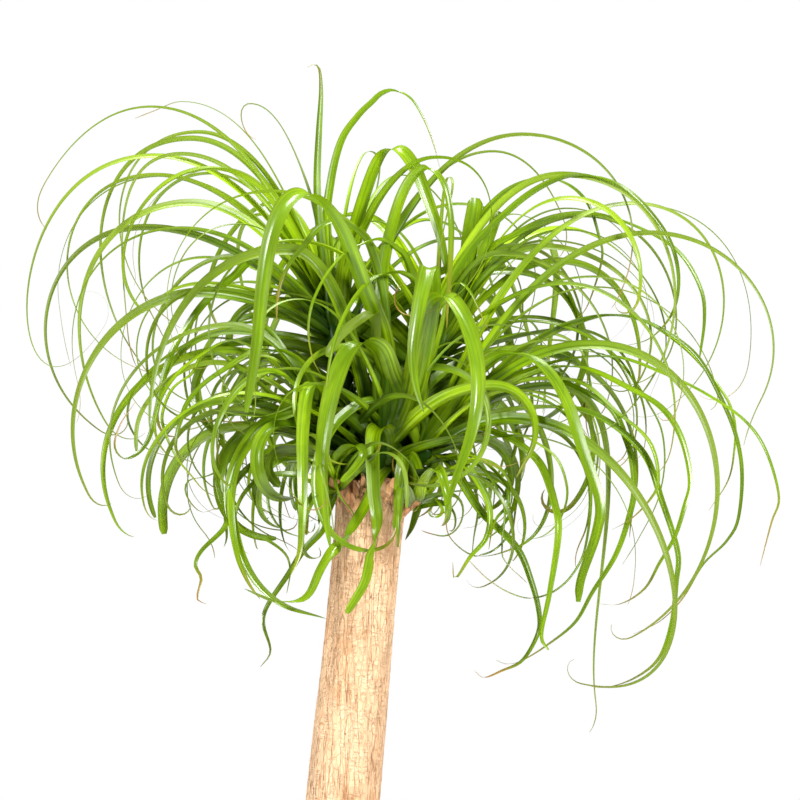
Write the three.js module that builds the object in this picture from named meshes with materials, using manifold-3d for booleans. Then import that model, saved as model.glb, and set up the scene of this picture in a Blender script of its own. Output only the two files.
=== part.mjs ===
// Potted ponytail palm: a leaning corky trunk on a swollen foot, sunk in soil in a plain clay pot. Its
// sawn top has grown several leafy heads, whose strap leaves arch over and hang in a wide mop.
// Millimetres, +Z up. The origin is the middle of the pot's underside; -Y is the front, +X the right.
import * as THREE from "three";
import { mergeVertices } from "three/addons/utils/BufferGeometryUtils.js";
import Module from "manifold-3d";

const wasm = await Module();
wasm.setup();

// Driving dimensions
const POT = {
  height: 210,
  footRadius: 88,
  rimRadius: 124,
  rimHeight: 34,
  rimStep: 6,
  lip: 2.5, // rounding of the rim and the foot
  wall: 8,
  floor: 11,
  cove: 8, // slope between the floor and the wall inside
  sides: 36,
};
const DRAIN = { count: 4, radius: 7, circle: 48, sides: 12, firstBearing: 45 };
const SOIL = { level: 184, mound: 9, rings: 7, sides: 26, lump: 1.4 };
// The lumps of the soil: waves with these lengths, divided by 2 pi
const SOIL_WAVES = { along: 5.3, across: 4.1, slantAlong: 9, slantAcross: 6 };
const GAP = 0.35; // between pieces that touch
const SHORTEST_EDGE = 0.03; // edges under this are closed up once the leaves are joined
const TRUNK = { top: 800, sides: 26, footX: -5, topX: 53.5, dome: 5 };
// How thick the trunk is: its radius at each height above the floor
const TRUNK_GIRTH = [
  [112, 34],
  [135, 62],
  [160, 75],
  [185, 80],
  [210, 80],
  [240, 73],
  [275, 60],
  [315, 49],
  [360, 42.5],
  [420, 38.6],
  [500, 36.8],
  [580, 35.4],
  [650, 34.1],
  [710, 33.5],
  [760, 34.3],
  [788, 35],
  [TRUNK.top, 32.5],
];
// The cork stands in long ridges. Each row: how high, how many round the trunk, rise of one turn.
const CORK_RIDGES = [
  [0.55, 9, 280],
  [0.35, 5, -500],
];
const STEM = { spread: 22.5, sides: 8, rings: 5, footRadius: 9.6, tipRadius: 10, bend: 0.55, bow: 0.25 };
const BLADE = {
  finePoints: 24, // points on each half of an arch when it is measured
  segmentLength: 82,
  fewestSegments: 5,
  mostSegments: 8,
  thinnest: 1.2,
  keel: 0.1, // depth of the keel as a share of the width
  rootWidth: 0.5, // share of the full width where the leaf leaves the stem
  widened: 0.08, // share of the length by which it is at full width
  taper: 0.6,
  slim: [12, 1], // a blade of this width narrows from its root on, with this power of the length
  broad: [19, 2.4], // and one of this width keeps its width longer
  clearance: 0.6,
  roll: [20, 60], // how far a leaf that lies across the front turns its face, in degrees
  twist: 65, // most turn of the blade along its length, either way
  stiffWidth: 24, // a blade of this width doesn't twist
  suppleWidth: 14, // and one of this width or less twists the most
  upright: 0.25, // how soon an upright leaf bends over
  leaning: 0.3, // and how much later a level one does
};
// A leaf that would pass through another head is swung round its root until it is clear.
const SWING = { step: 2.5, most: 16, slight: 8 };
// How leaves grow by the rule. Their age runs from 0, the youngest, to 1, the oldest.
const GROWTH = {
  turn: 137.5, // from each leaf to the next
  turnScatter: 26,
  youngLean: 6, // from the axis of the head
  oldLean: 76,
  leanByAge: 0.8,
  leanScatter: 16,
  mostLean: 86, // from upright
  youngLength: 0.75, // share of the head's leaf length
  lengthScatter: [0.8, 1.1],
  straight: 0.15, // share of the length that is straight, at the root
  curved: 0.85,
  rootBend: 1.4, // radius of the bend up to the crest, as a multiple of the one after it
  hang: [185, 290], // direction of the tip
  drift: 0.3, // most sideways drift of the tip, as a share of the length
  lifted: 0.45, // share of the way from the lowest point up to the crest where a tip may stop
  width: [11, 19],
  youngWidth: 0.8,
  trimmed: 0.12, // share of the leaves whose tip was cut off
  trimmedTo: [0.6, 0.85],
};

// The heads. foot: compass point (0 is +X, 90 is +Y) and height where the stem starts inside the trunk;
// girth: how thick the stem is beside the others; crown: where its youngest leaves stand; tilt: how far
// the rosette leans, and to which compass point; count and length: how many leaves grow by the rule, and
// how long they get; depth: how far down the stem they sit; lowest: how far down they hang; frontGap: how far
// either way of the front none of them grows, in degrees, because the named ones hang there. arches: the
// leaves that stand out in the silhouette, each with its width, the highest point of its arch, its tip,
// the direction of the tip (90 is level and outward, 180 straight down, 270 back towards the trunk), how
// full the arch is, and how much it has narrowed by its end, if it was cut short.
const HEADS = [
  {
    name: "head_upper_left",
    frontGap: 50,
    foot: [150, 786],
    girth: 1,
    crown: [10, 45, 972],
    tilt: [17, 160],
    count: 36,
    length: 540,
    depth: 60,
    lowest: 830,
    seed: 11,
    arches: [
      [14, [-165, 10, 1125], [-218, -10, 949], 325, 0.93],
      [9, [-172, 30, 1176], [-277, 20, 1097], 152],
      [6, [-142, 60, 1183], [-171, 66, 1173], 110],
      [10, [-126, 75, 1152], [-162, 95, 967], 232],
      [14, [-136, 50, 1146], [-195, 60, 927], 216],
      [12, [-169, 55, 1108], [-182, 40, 911], 250],
      [11, [-140, 20, 1126], [-196, 0, 952], 186],
      [17, [-130, 0, 1078], [-215, -20, 858], 213],
      [14, [-175, 40, 1055], [-226, 50, 850], 235],
      [18, [-120, -10, 988], [-233, -30, 790], 205],
      [14, [-4, 30, 1222], [-17, 28, 1216], 112],
      [15, [72, 40, 1198], [122, 45, 1115], 168],
      [12, [-72, 70, 1180], [-78, 78, 1156], 205],
      [19, [77, 10, 1135], [135, -10, 980], 174],
      [13, [202, 0, 1147], [301, -20, 990], 205],
      [12, [174, 60, 1132], [243, 80, 1073], 155],
    ],
  },
  {
    name: "head_upper_right",
    frontGap: 50,
    foot: [30, 786],
    girth: 1,
    crown: [132, 35, 950],
    tilt: [15, 20],
    count: 34,
    length: 520,
    depth: 60,
    lowest: 840,
    seed: 23,
    arches: [
      [17, [215, 20, 1105], [256, 10, 960], 222],
      [17, [255, 0, 1069], [380, -10, 922], 184, 1, 0.7],
      [21, [156, 30, 1068], [162, 26, 1064], 120, 1, 0.35],
      [19, [174, 30, 1072], [179, 24, 1018], 185, 1, 0.7],
      [11, [127, 0, 1103], [117, -20, 1018], 183],
      [13, [230, 25, 1041], [330, 20, 930], 205],
      [14, [225, 5, 1034], [323, -5, 905], 207],
      [12, [180, 0, 1027], [284, -20, 873], 200],
      [10, [195, 30, 1035], [267, 30, 888], 186],
      [12, [265, 40, 1067], [284, 50, 896], 280, 0.9],
    ],
  },
  {
    name: "head_centre",
    frontGap: 55,
    foot: [270, 786],
    girth: 1,
    crown: [75, -30, 850],
    tilt: [12, 270],
    count: 26,
    length: 430,
    depth: 45,
    lowest: 770,
    seed: 37,
    arches: [
      [14, [240, -30, 1103], [320, -35, 885], 218],
      [17, [108, -40, 1111], [126, -70, 950], 180],
      [21, [44, -70, 939], [45, -110, 736], 262, 0.55],
      [16, [60, -75, 858], [28, -105, 672], 205, 0.35, 0.7],
      [21, [125, -105, 983], [121, -165, 765], 196, 0.7],
      [21, [111, -95, 1010], [102, -150, 866], 178, 0.5],
      [18, [25, -20, 1058], [-41, -50, 955], 190],
      [21, [-10, -105, 1078], [-62, -170, 868], 178, 0.55],
      [17, [48, -60, 968], [0, -75, 923], 135, 1, 0.6],
      [20, [-30, -40, 1030], [-166, -70, 850], 183],
      [17, [-20, -70, 876], [7, -75, 666], 262, 1, 0.75],
      [15, [35, -85, 835], [-40, -110, 690], 130, 0.6],
    ],
  },
  {
    name: "head_right",
    frontGap: 50,
    foot: [330, 786],
    girth: 1,
    crown: [108, -15, 830],
    tilt: [20, 350],
    count: 24,
    length: 420,
    depth: 40,
    lowest: 690,
    seed: 41,
    arches: [
      [16, [310, -20, 1077], [353, -10, 875], 232],
      [14, [328, -40, 1046], [436, -60, 878], 208],
      [17, [305, -20, 965], [389, -10, 770], 212],
      [16, [290, -60, 924], [434, -80, 717], 196],
      [17, [270, -45, 936], [311, -60, 647], 243, 0.9],
      [6, [276, 0, 992], [398, 10, 888], 170],
      [21, [192, -70, 928], [253, -130, 683], 198, 1, 0.8],
      [18, [215, -40, 871], [290, -60, 599], 245, 0.9],
      [17, [190, -55, 863], [260, -80, 601], 280, 0.85],
      [19, [178, -65, 846], [218, -110, 648], 192, 1, 0.85],
      [16, [145, -70, 834], [152, -95, 616], 290, 0.7],
      [16, [250, -30, 850], [174, -50, 622], 285, 0.75],
      [14, [230, 10, 895], [276, 0, 578], 172, 0.9],
      [17, [270, -70, 915], [270, -100, 680], 275, 0.9],
      [18, [58, -70, 883], [8, -100, 760], 185, 0.8],
      [16, [54, -30, 1040], [1, -80, 907], 205],
      [15, [72, -55, 1008], [3, -95, 870], 192],
    ],
  },
  {
    name: "head_left",
    frontGap: 45,
    foot: [210, 786],
    girth: 1,
    crown: [4, -5, 850],
    tilt: [20, 190],
    count: 34,
    length: 360,
    depth: 40,
    lowest: 730,
    seed: 53,
    arches: [
      [17, [-35, -45, 880], [-114, -40, 680], 176],
      [18, [-14, -90, 900], [-20, -125, 708], 183, 0.3],
      [16, [-60, -50, 905], [-57, -70, 655], 240, 0.8],
      [14, [-75, 0, 930], [-160, 10, 790], 215],
      [15, [-90, -30, 955], [-200, -40, 800], 200],
      [16, [-50, -60, 925], [-100, -90, 745], 195],
    ],
  },
  {
    name: "head_back",
    frontGap: 60,
    foot: [90, 786],
    girth: 1,
    crown: [68, 62, 868],
    tilt: [20, 90],
    count: 44,
    length: 430,
    depth: 50,
    lowest: 740,
    seed: 67,
    arches: [],
  },
  {
    name: "shoot_right",
    frontGap: 0,
    foot: [345, 748],
    girth: 0.6,
    crown: [99, -16, 783],
    tilt: [30, 350],
    count: 9,
    length: 230,
    depth: 12,
    lowest: 740,
    seed: 71,
    arches: [],
  },
  {
    name: "shoot_left",
    frontGap: 0,
    foot: [235, 755],
    girth: 0.6,
    crown: [14, -42, 800],
    tilt: [30, 225],
    count: 8,
    length: 210,
    depth: 12,
    lowest: 720,
    seed: 83,
    arches: [],
  },
];

// Degrees to radians, a blend of two numbers, and a number kept between two others
const radians = (degrees) => (degrees * Math.PI) / 180;
const blend = (from, to, share) => from + (to - from) * share;
const clamp = (value, low, high) => Math.min(high, Math.max(low, value));
const UP = new THREE.Vector3(0, 0, 1);
const compass = (degrees) => new THREE.Vector3(Math.cos(radians(degrees)), Math.sin(radians(degrees)), 0);

// Draws from 0 to 1 that are the same in every run
function seededDraws(seed) {
  let state = seed;
  return () => {
    state = (1664525 * state + 1013904223) % 4294967296;
    return state / 4294967296;
  };
}

// Solids and geometries
function solidFrom(positions, triangles) {
  return new wasm.Manifold(
    new wasm.Mesh({
      numProp: 3,
      vertProperties: new Float32Array(positions),
      triVerts: new Uint32Array(triangles),
    }),
  );
}

function solidOf(geometry) {
  const bare = geometry.clone();
  bare.deleteAttribute("normal");
  bare.deleteAttribute("uv");
  const merged = mergeVertices(bare, 1e-4);
  return solidFrom(merged.attributes.position.array, merged.index.array);
}

function geometryOf(solid) {
  const mesh = solid.getMesh();
  const geometry = new THREE.BufferGeometry();
  geometry.setAttribute("position", new THREE.BufferAttribute(new Float32Array(mesh.vertProperties), 3));
  geometry.setIndex(new THREE.BufferAttribute(new Uint32Array(mesh.triVerts), 1));
  geometry.computeVertexNormals();
  return geometry;
}

// A closed skin over rings of points, each ring turning right-handed about the way ahead. It ends in a
// flat cap, or in a point where one is given. Each four-sided patch is split along the diagonal that
// stands further out, so that a twisted skin never dents through its own far side.
function skinOver({ rings, point }) {
  const sides = rings[0].length;
  const points = rings.flat();
  const triangles = [];
  for (let i = 1; i < sides - 1; i++) triangles.push(0, i + 1, i);
  for (let r = 0; r < rings.length - 1; r++) {
    const middle = new THREE.Vector3();
    [...rings[r], ...rings[r + 1]].forEach((p) => middle.addScaledVector(p, 0.5 / sides));
    for (let i = 0; i < sides; i++) {
      const [a, b] = [r * sides + i, r * sides + ((i + 1) % sides)];
      const [c, d] = [b + sides, a + sides];
      const reach = (p, q) => points[p].clone().add(points[q]).multiplyScalar(0.5).distanceTo(middle);
      if (reach(a, c) >= reach(b, d)) triangles.push(a, b, c, a, c, d);
      else triangles.push(a, b, d, b, c, d);
    }
  }
  const last = (rings.length - 1) * sides;
  if (point) {
    points.push(point);
    for (let i = 0; i < sides; i++) triangles.push(last + i, last + ((i + 1) % sides), points.length - 1);
  } else {
    for (let i = 1; i < sides - 1; i++) triangles.push(last, last + i, last + i + 1);
  }
  return solidFrom(
    points.flatMap((p) => p.toArray()),
    triangles,
  );
}

// A ring of points round a middle, in the plane of two directions. reach gives the radius at each turn.
function ringRound(middle, first, second, sides, reach) {
  return Array.from({ length: sides }, (_, i) => {
    const turn = (i / sides) * 2 * Math.PI;
    const radius = reach(turn);
    const point = middle.clone().addScaledVector(first, radius * Math.cos(turn));
    return point.addScaledVector(second, radius * Math.sin(turn));
  });
}

const ACROSS = new THREE.Vector3(1, 0, 0);
const BACK = new THREE.Vector3(0, 1, 0);

// The trunk leans to the right as it rises, and bulges at its foot.
function trunkCentre(z) {
  return new THREE.Vector3(blend(TRUNK.footX, TRUNK.topX, (z - SOIL.level) / (TRUNK.top - SOIL.level)), 0, z);
}

function trunkRings(swell) {
  const rings = TRUNK_GIRTH.map(([z, radius]) =>
    ringRound(trunkCentre(z), ACROSS, BACK, TRUNK.sides, (turn) => {
      const wave = ([high, count, rise]) => high * Math.sin(count * turn + (2 * Math.PI * z) / rise);
      return CORK_RIDGES.reduce((sum, ridge) => sum + wave(ridge), radius + swell);
    }),
  );
  return { rings, point: trunkCentre(TRUNK.top).setZ(TRUNK.top + TRUNK.dome + swell) };
}

// A head's stem stands in a socket in the trunk, and bends over to its crown.
function stemCurve(head) {
  const [bearing, height] = head.foot;
  const out = compass(bearing).multiplyScalar(STEM.spread);
  const foot = trunkCentre(height).add(out);
  const crown = new THREE.Vector3(...head.crown);
  const bend = foot.clone().addScaledVector(UP, STEM.bend * (crown.z - foot.z));
  bend.addScaledVector(out, STEM.bow);
  return new THREE.QuadraticBezierCurve3(foot, bend, crown);
}

function stemRings(head, swell) {
  const curve = stemCurve(head);
  const rings = Array.from({ length: STEM.rings + 1 }, (_, r) => {
    const along = r / STEM.rings;
    const ahead = curve.getTangent(along);
    const side = BACK.clone().cross(ahead).normalize();
    const radius = head.girth * blend(STEM.footRadius, STEM.tipRadius, along) + swell;
    const middle = curve.getPoint(along).addScaledVector(UP, r === 0 ? -swell : 0);
    return ringRound(middle, side, ahead.clone().cross(side), STEM.sides, () => radius);
  });
  const point = curve.getPoint(1).addScaledVector(curve.getTangent(1), head.girth * STEM.tipRadius + swell);
  return { rings, point };
}

// Where on its head's stem a leaf is rooted, from its age
function rootOf(head, age) {
  const curve = stemCurve(head);
  return curve.getPoint(1 - (age * head.depth) / curve.getLength());
}

// A leaf that grows by the rule: its arch follows from its age, its compass point and a few draws.
function grownLeaf(head, index, draw) {
  const age = (index + 0.5) / head.count;
  const axis = UP.clone().applyAxisAngle(compass(head.tilt[1] + 90), radians(head.tilt[0]));
  const usual = blend(GROWTH.youngLean, GROWTH.oldLean, age ** GROWTH.leanByAge);
  const open = usual + GROWTH.leanScatter * (draw() - 0.5);
  const bearing = compass(index * GROWTH.turn + GROWTH.turnScatter * (draw() - 0.5));
  const aside = bearing.addScaledVector(axis, -bearing.dot(axis)).normalize();
  const start = axis.multiplyScalar(Math.cos(radians(open))).addScaledVector(aside, Math.sin(radians(open)));
  const lean = Math.min(Math.acos(start.z), radians(GROWTH.mostLean));
  const outward = start.setZ(0).normalize();
  const length = head.length * blend(GROWTH.youngLength, 1, age) * blend(...GROWTH.lengthScatter, draw());
  const hang = blend(...GROWTH.hang, draw());
  const drop = radians(hang - 90);
  const tipBend = (GROWTH.curved * length) / (GROWTH.rootBend * (Math.PI / 2 - lean) + drop);
  const rootBend = GROWTH.rootBend * tipBend;
  const straight = GROWTH.straight * length;
  const root = rootOf(head, age);
  const crest = root.clone().addScaledVector(outward, straight * Math.sin(lean) + rootBend * Math.cos(lean));
  crest.addScaledVector(UP, straight * Math.cos(lean) + rootBend * (1 - Math.sin(lean)));
  const fall = outward.clone().multiplyScalar(tipBend * Math.sin(drop));
  fall.addScaledVector(UP, tipBend * (Math.cos(drop) - 1));
  fall.addScaledVector(UP.clone().cross(outward), GROWTH.drift * length * (draw() - 0.5));
  const lowest = blend(head.lowest, crest.z, GROWTH.lifted * draw());
  const tip = crest.clone().addScaledVector(fall, Math.min(1, (crest.z - lowest) / -fall.z));
  const width = blend(...GROWTH.width, draw()) * blend(GROWTH.youngWidth, 1, age);
  const kept = draw() < GROWTH.trimmed ? blend(...GROWTH.trimmedTo, draw()) : 1;
  return { named: false, root, crest, tip, hang, fullness: 1, width, kept };
}

// A leaf of the silhouette, from its line in the list of arches
function namedLeaf(head, index) {
  const [width, crest, tip, hang, fullness = 1, kept = 1] = head.arches[index];
  const root = rootOf(head, (index + 0.5) / head.arches.length);
  const [high, end] = [new THREE.Vector3(...crest), new THREE.Vector3(...tip)];
  return { named: true, root, crest: high, tip: end, hang, fullness, width, kept };
}

// The roll that turns the hanging part of a leaf to the front, as far as a blade may roll
function facingRoll(leaf) {
  const points = archPoints(leaf);
  const middle = Math.round(1.5 * BLADE.finePoints); // halfway down from the crest
  const ahead = points[middle + 1].clone().sub(points[middle - 1]).normalize();
  const level = UP.clone().cross(leaf.crest.clone().sub(leaf.root).setZ(0).normalize());
  const flat = level.addScaledVector(ahead, -level.dot(ahead)).normalize();
  const face = ahead.clone().cross(flat);
  const most = radians(BLADE.roll[1]);
  return clamp(Math.atan2(-flat.y * Math.sign(face.y), Math.abs(face.y)), -most, most);
}

// Every leaf of a head, with the roll and twist of its blade. Broad blades are stiff and twist least.
function leavesOf(head) {
  const draw = seededDraws(head.seed);
  const leaves = head.arches.map((_, i) => namedLeaf(head, i));
  for (let i = 0; i < head.count; i++) leaves.push(grownLeaf(head, i, draw));
  for (const leaf of leaves) {
    const across = Math.abs(leaf.crest.x - leaf.root.x) / leaf.crest.distanceTo(leaf.root);
    const side = draw() < 0.5 ? -1 : 1;
    leaf.roll = radians(side * blend(...BLADE.roll, draw()) * across);
    if (leaf.named) leaf.roll = facingRoll(leaf);
    const supple = clamp((BLADE.stiffWidth - leaf.width) / (BLADE.stiffWidth - BLADE.suppleWidth), 0, 1);
    leaf.twist = radians(2 * BLADE.twist * supple * (draw() - 0.5));
  }
  return leaves.filter((leaf) => leaf.named || !growsOverFront(leaf, head.frontGap));
}

function growsOverFront(leaf, gap) {
  const outward = leaf.crest.clone().sub(leaf.root).setZ(0).normalize();
  return -outward.y > Math.cos(radians(gap));
}

// The same leaf swung by an angle about the upright line through its root
function swung(leaf, degrees) {
  const swing = (point) => point.clone().sub(leaf.root).applyAxisAngle(UP, radians(degrees)).add(leaf.root);
  return { ...leaf, crest: swing(leaf.crest), tip: swing(leaf.tip) };
}

// An arch rises from the root to its crest, where it is level, and curls over to its tip.
function archPoints(leaf) {
  const outward = leaf.crest.clone().sub(leaf.root).setZ(0).normalize();
  const level = leaf.crest.clone().sub(leaf.root).setZ(0).length() / leaf.crest.distanceTo(leaf.root);
  const bend = BLADE.upright + BLADE.leaning * level;
  const shoulder = leaf.root.clone().lerp(leaf.crest, bend).setZ(leaf.crest.z);
  const rise = new THREE.QuadraticBezierCurve3(leaf.root, shoulder, leaf.crest);
  const turn = radians(leaf.hang);
  const heading = outward.clone().multiplyScalar(Math.sin(turn)).addScaledVector(UP, Math.cos(turn));
  const span = leaf.crest.distanceTo(leaf.tip);
  const halfTurn = (turn - Math.PI / 2) / 4;
  const pull = leaf.fullness * span * Math.min(1, 1 / (3 * Math.cos(halfTurn) ** 2));
  const fall = new THREE.CubicBezierCurve3(
    leaf.crest,
    leaf.crest.clone().addScaledVector(outward, pull),
    leaf.tip.clone().addScaledVector(heading, -pull),
    leaf.tip,
  );
  const points = rise.getPoints(BLADE.finePoints);
  return points.concat(fall.getPoints(BLADE.finePoints).slice(1));
}

// Evenly spaced stations along a leaf: its middle line, its frame and its width
function stationsOf(leaf) {
  const points = archPoints(leaf);
  const reached = [0];
  for (let i = 1; i < points.length; i++) reached.push(reached[i - 1] + points[i].distanceTo(points[i - 1]));
  const length = reached.at(-1);
  const outward = leaf.crest.clone().sub(leaf.root).setZ(0).normalize();
  const level = UP.clone().cross(outward);
  const count = clamp(Math.round(length / BLADE.segmentLength), BLADE.fewestSegments, BLADE.mostSegments);
  const [slimWidth, slimPower] = BLADE.slim;
  const [broadWidth, broadPower] = BLADE.broad;
  const broad = clamp((leaf.width - slimWidth) / (broadWidth - slimWidth), 0, 1);
  const power = blend(slimPower, broadPower, broad);
  return Array.from({ length: count + 1 }, (_, s) => {
    const along = s / count;
    const passed = reached.findIndex((r) => r >= along * length - 1e-6);
    const next = Math.max(passed, 1);
    const share = (along * length - reached[next - 1]) / (reached[next] - reached[next - 1]);
    const middle = points[next - 1].clone().lerp(points[next], share);
    const ahead = points[next].clone().sub(points[next - 1]).normalize();
    const flat = level.clone().addScaledVector(ahead, -level.dot(ahead)).normalize();
    const face = ahead.clone().cross(flat);
    const roll = leaf.roll + leaf.twist * along;
    const side = flat.clone().multiplyScalar(Math.cos(roll)).addScaledVector(face, Math.sin(roll));
    const top = face.multiplyScalar(Math.cos(roll)).addScaledVector(flat, -Math.sin(roll));
    const opening = blend(BLADE.rootWidth, 1, Math.min(1, along / BLADE.widened));
    const width = leaf.width * opening * (1 - (along * leaf.kept) ** power) ** BLADE.taper;
    return { middle, side, top, width };
  });
}

// A blade has three sides: its two edges and the keel under its middle.
function bladeRings(stations, kept, extra) {
  const rings = stations.map(({ middle, side, top, width }) => {
    const lifted = middle.clone().addScaledVector(top, extra);
    const depth = Math.max(BLADE.thinnest, BLADE.keel * width) + extra;
    const half = Math.max(width / 2, BLADE.thinnest) + extra;
    return [
      lifted.clone().addScaledVector(side, half),
      lifted.clone().addScaledVector(side, -half),
      middle.clone().addScaledVector(top, -depth),
    ];
  });
  return kept < 1 ? { rings } : { rings: rings.slice(0, -1), point: stations.at(-1).middle };
}

// A solid with the boxes that it fills segment by segment, so that only near neighbours are compared
function obstacle({ rings, point }) {
  const ends = point ? [...rings, [point]] : rings;
  const boxes = ends.slice(1).map((ring, i) => new THREE.Box3().setFromPoints([...ring, ...ends[i]]));
  const whole = boxes.reduce((sum, box) => sum.union(box), new THREE.Box3());
  return { solid: skinOver({ rings, point }), boxes, whole };
}

function meets(blade, others) {
  return others.some(
    (other) =>
      blade.whole.intersectsBox(other.whole) &&
      blade.boxes.some((box) => other.boxes.some((theirs) => box.intersectsBox(theirs))) &&
      !blade.solid.intersect(other.solid).isEmpty(),
  );
}

// A leaf's blade, swung clear of all that it must not meet. If a slight swing is enough, it is also clear
// of its own head's leaves once it has left the stem. A leaf that finds no room isn't grown.
function placeLeaf(leaf, strangers, siblings) {
  let chosen;
  for (let attempt = 0; attempt <= SWING.most; attempt++) {
    const steps = attempt % 2 ? (attempt + 1) / 2 : -attempt / 2;
    const stations = stationsOf(swung(leaf, steps * SWING.step));
    if (meets(obstacle(bladeRings(stations, leaf.kept, BLADE.clearance)), strangers)) continue;
    const { rings, point } = bladeRings(stations, leaf.kept, 0);
    const free = obstacle({ rings: rings.slice(1), point });
    const crossing = meets(free, siblings);
    if (!crossing || !chosen) chosen = { blade: obstacle({ rings, point }), free };
    if (!crossing || attempt >= SWING.slight) break;
  }
  return chosen;
}

// The leaves of the silhouette are placed first, and those that grow by the rule fill in between them.
function growHeads() {
  const stems = HEADS.map((head) => obstacle(stemRings(head, 0)));
  const trunk = obstacle(trunkRings(0));
  const grown = HEADS.map(() => []);
  for (const named of [true, false]) {
    HEADS.forEach((head, h) => {
      const others = grown.filter((_, s) => s !== h).flat();
      const strangers = [trunk, ...stems.filter((_, s) => s !== h), ...others.map(({ blade }) => blade)];
      for (const leaf of leavesOf(head).filter((each) => each.named === named)) {
        const siblings = grown[h].map(({ free }) => free);
        const chosen = placeLeaf(leaf, strangers, siblings);
        if (chosen) grown[h].push(chosen);
      }
    });
  }
  return HEADS.map((_, h) => {
    const joined = grown[h].reduce((head, { blade }) => head.add(blade.solid), stems[h].solid);
    const bodies = joined.simplify(SHORTEST_EDGE).decompose();
    return bodies.sort((a, b) => b.volume() - a.volume())[0];
  });
}

// The pot is turned in one piece, with a rolled rim, and has drain holes in its floor.
function potProfile() {
  const { height, footRadius, rimRadius, rimHeight, rimStep, lip, wall, floor, cove } = POT;
  return [
    [0, 0],
    [footRadius - lip, 0],
    [footRadius, lip],
    [rimRadius - rimStep, height - rimHeight],
    [rimRadius - lip, height - rimHeight],
    [rimRadius, height - rimHeight + lip],
    [rimRadius, height - lip],
    [rimRadius - lip, height],
    [rimRadius - wall, height],
    [potInnerRadius(height - lip), height - lip],
    [potInnerRadius(floor + cove), floor + cove],
    [potInnerRadius(floor + cove) - cove, floor],
    [0, floor],
  ].map(([radius, z]) => new THREE.Vector2(radius, z));
}

function potInnerRadius(z) {
  const { height, footRadius, rimRadius, lip, wall, floor, cove } = POT;
  const [low, high] = [floor + cove, height - lip];
  return blend(footRadius - wall + lip, rimRadius - wall - lip, (z - low) / (high - low));
}

function potSolid() {
  let pot = solidOf(new THREE.LatheGeometry(potProfile(), POT.sides).rotateX(Math.PI / 2));
  for (let i = 0; i < DRAIN.count; i++) {
    const hole = new THREE.CylinderGeometry(DRAIN.radius, DRAIN.radius, 3 * POT.floor, DRAIN.sides);
    hole.rotateX(Math.PI / 2);
    const at = compass(DRAIN.firstBearing + (i * 360) / DRAIN.count).multiplyScalar(DRAIN.circle);
    pot = pot.subtract(solidOf(hole.translate(at.x, at.y, 0)));
  }
  return pot;
}

// The soil fills the pot, mounded and lumpy on top, with a plain hole for the trunk's foot.
function soilSolid() {
  const facet = Math.cos(Math.PI / POT.sides);
  const ring = (radius, z) =>
    ringRound(new THREE.Vector3(0, 0, z), ACROSS, BACK, SOIL.sides, () => (radius - GAP) * facet);
  const cove = POT.floor + POT.cove;
  const rim = potInnerRadius(SOIL.level);
  const rings = [
    ring(potInnerRadius(cove) - POT.cove, POT.floor + GAP),
    ring(potInnerRadius(cove), cove + GAP),
    ring(rim, SOIL.level),
  ];
  for (let r = SOIL.rings - 1; r > 0; r--) {
    const share = r / SOIL.rings;
    const top = ring(rim * share, SOIL.level + SOIL.mound * (1 - share ** 2));
    top.forEach((p) => {
      const straight = Math.sin(p.x / SOIL_WAVES.along) * Math.cos(p.y / SOIL_WAVES.across);
      const slanted = Math.sin(p.x / SOIL_WAVES.slantAlong + p.y / SOIL_WAVES.slantAcross);
      p.z += SOIL.lump * (straight + slanted);
    });
    rings.push(top);
  }
  const point = new THREE.Vector3(0, 0, SOIL.level + SOIL.mound);
  return skinOver({ rings, point }).subtract(skinOver(trunkRings(GAP)));
}

// Each stem of a head stands in its own socket in the trunk.
function trunkSolid() {
  return HEADS.reduce((wood, head) => wood.subtract(skinOver(stemRings(head, GAP))), skinOver(trunkRings(0)));
}

// Materials
const clay = new THREE.MeshStandardMaterial({ color: 0xb4694a, roughness: 0.85, metalness: 0 });
const compost = new THREE.MeshStandardMaterial({ color: 0x3b2a20, roughness: 0.95, metalness: 0 });
const cork = new THREE.MeshStandardMaterial({ color: 0xdcb184, roughness: 0.9, metalness: 0 });
const leafGreen = new THREE.MeshStandardMaterial({ color: 0x6f9f1e, roughness: 0.4, metalness: 0 });

const palm = new THREE.Group();
function addPiece(name, solid, material) {
  const mesh = new THREE.Mesh(geometryOf(solid), material);
  mesh.name = name;
  palm.add(mesh);
}

addPiece("pot", potSolid(), clay);
addPiece("soil", soilSolid(), compost);
addPiece("trunk", trunkSolid(), cork);
growHeads().forEach((solid, h) => addPiece(HEADS[h].name, solid, leafGreen));

export default palm;
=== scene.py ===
# Potted ponytail palm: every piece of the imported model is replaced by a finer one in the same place.
# Lengths are in millimetres, as in the plant's own drawing, and MM turns them into metres where a mesh is
# made. Angles are in degrees, apart from the few that a comment gives in radians. -Y is the front, +X the
# right. Two numbers in brackets are the least and the most of what they name, or the two values between
# which it comes in, unless a comment says otherwise.
import math

import bmesh
import bpy
import numpy as np
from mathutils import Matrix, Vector, noise
from mathutils.kdtree import KDTree


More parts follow.
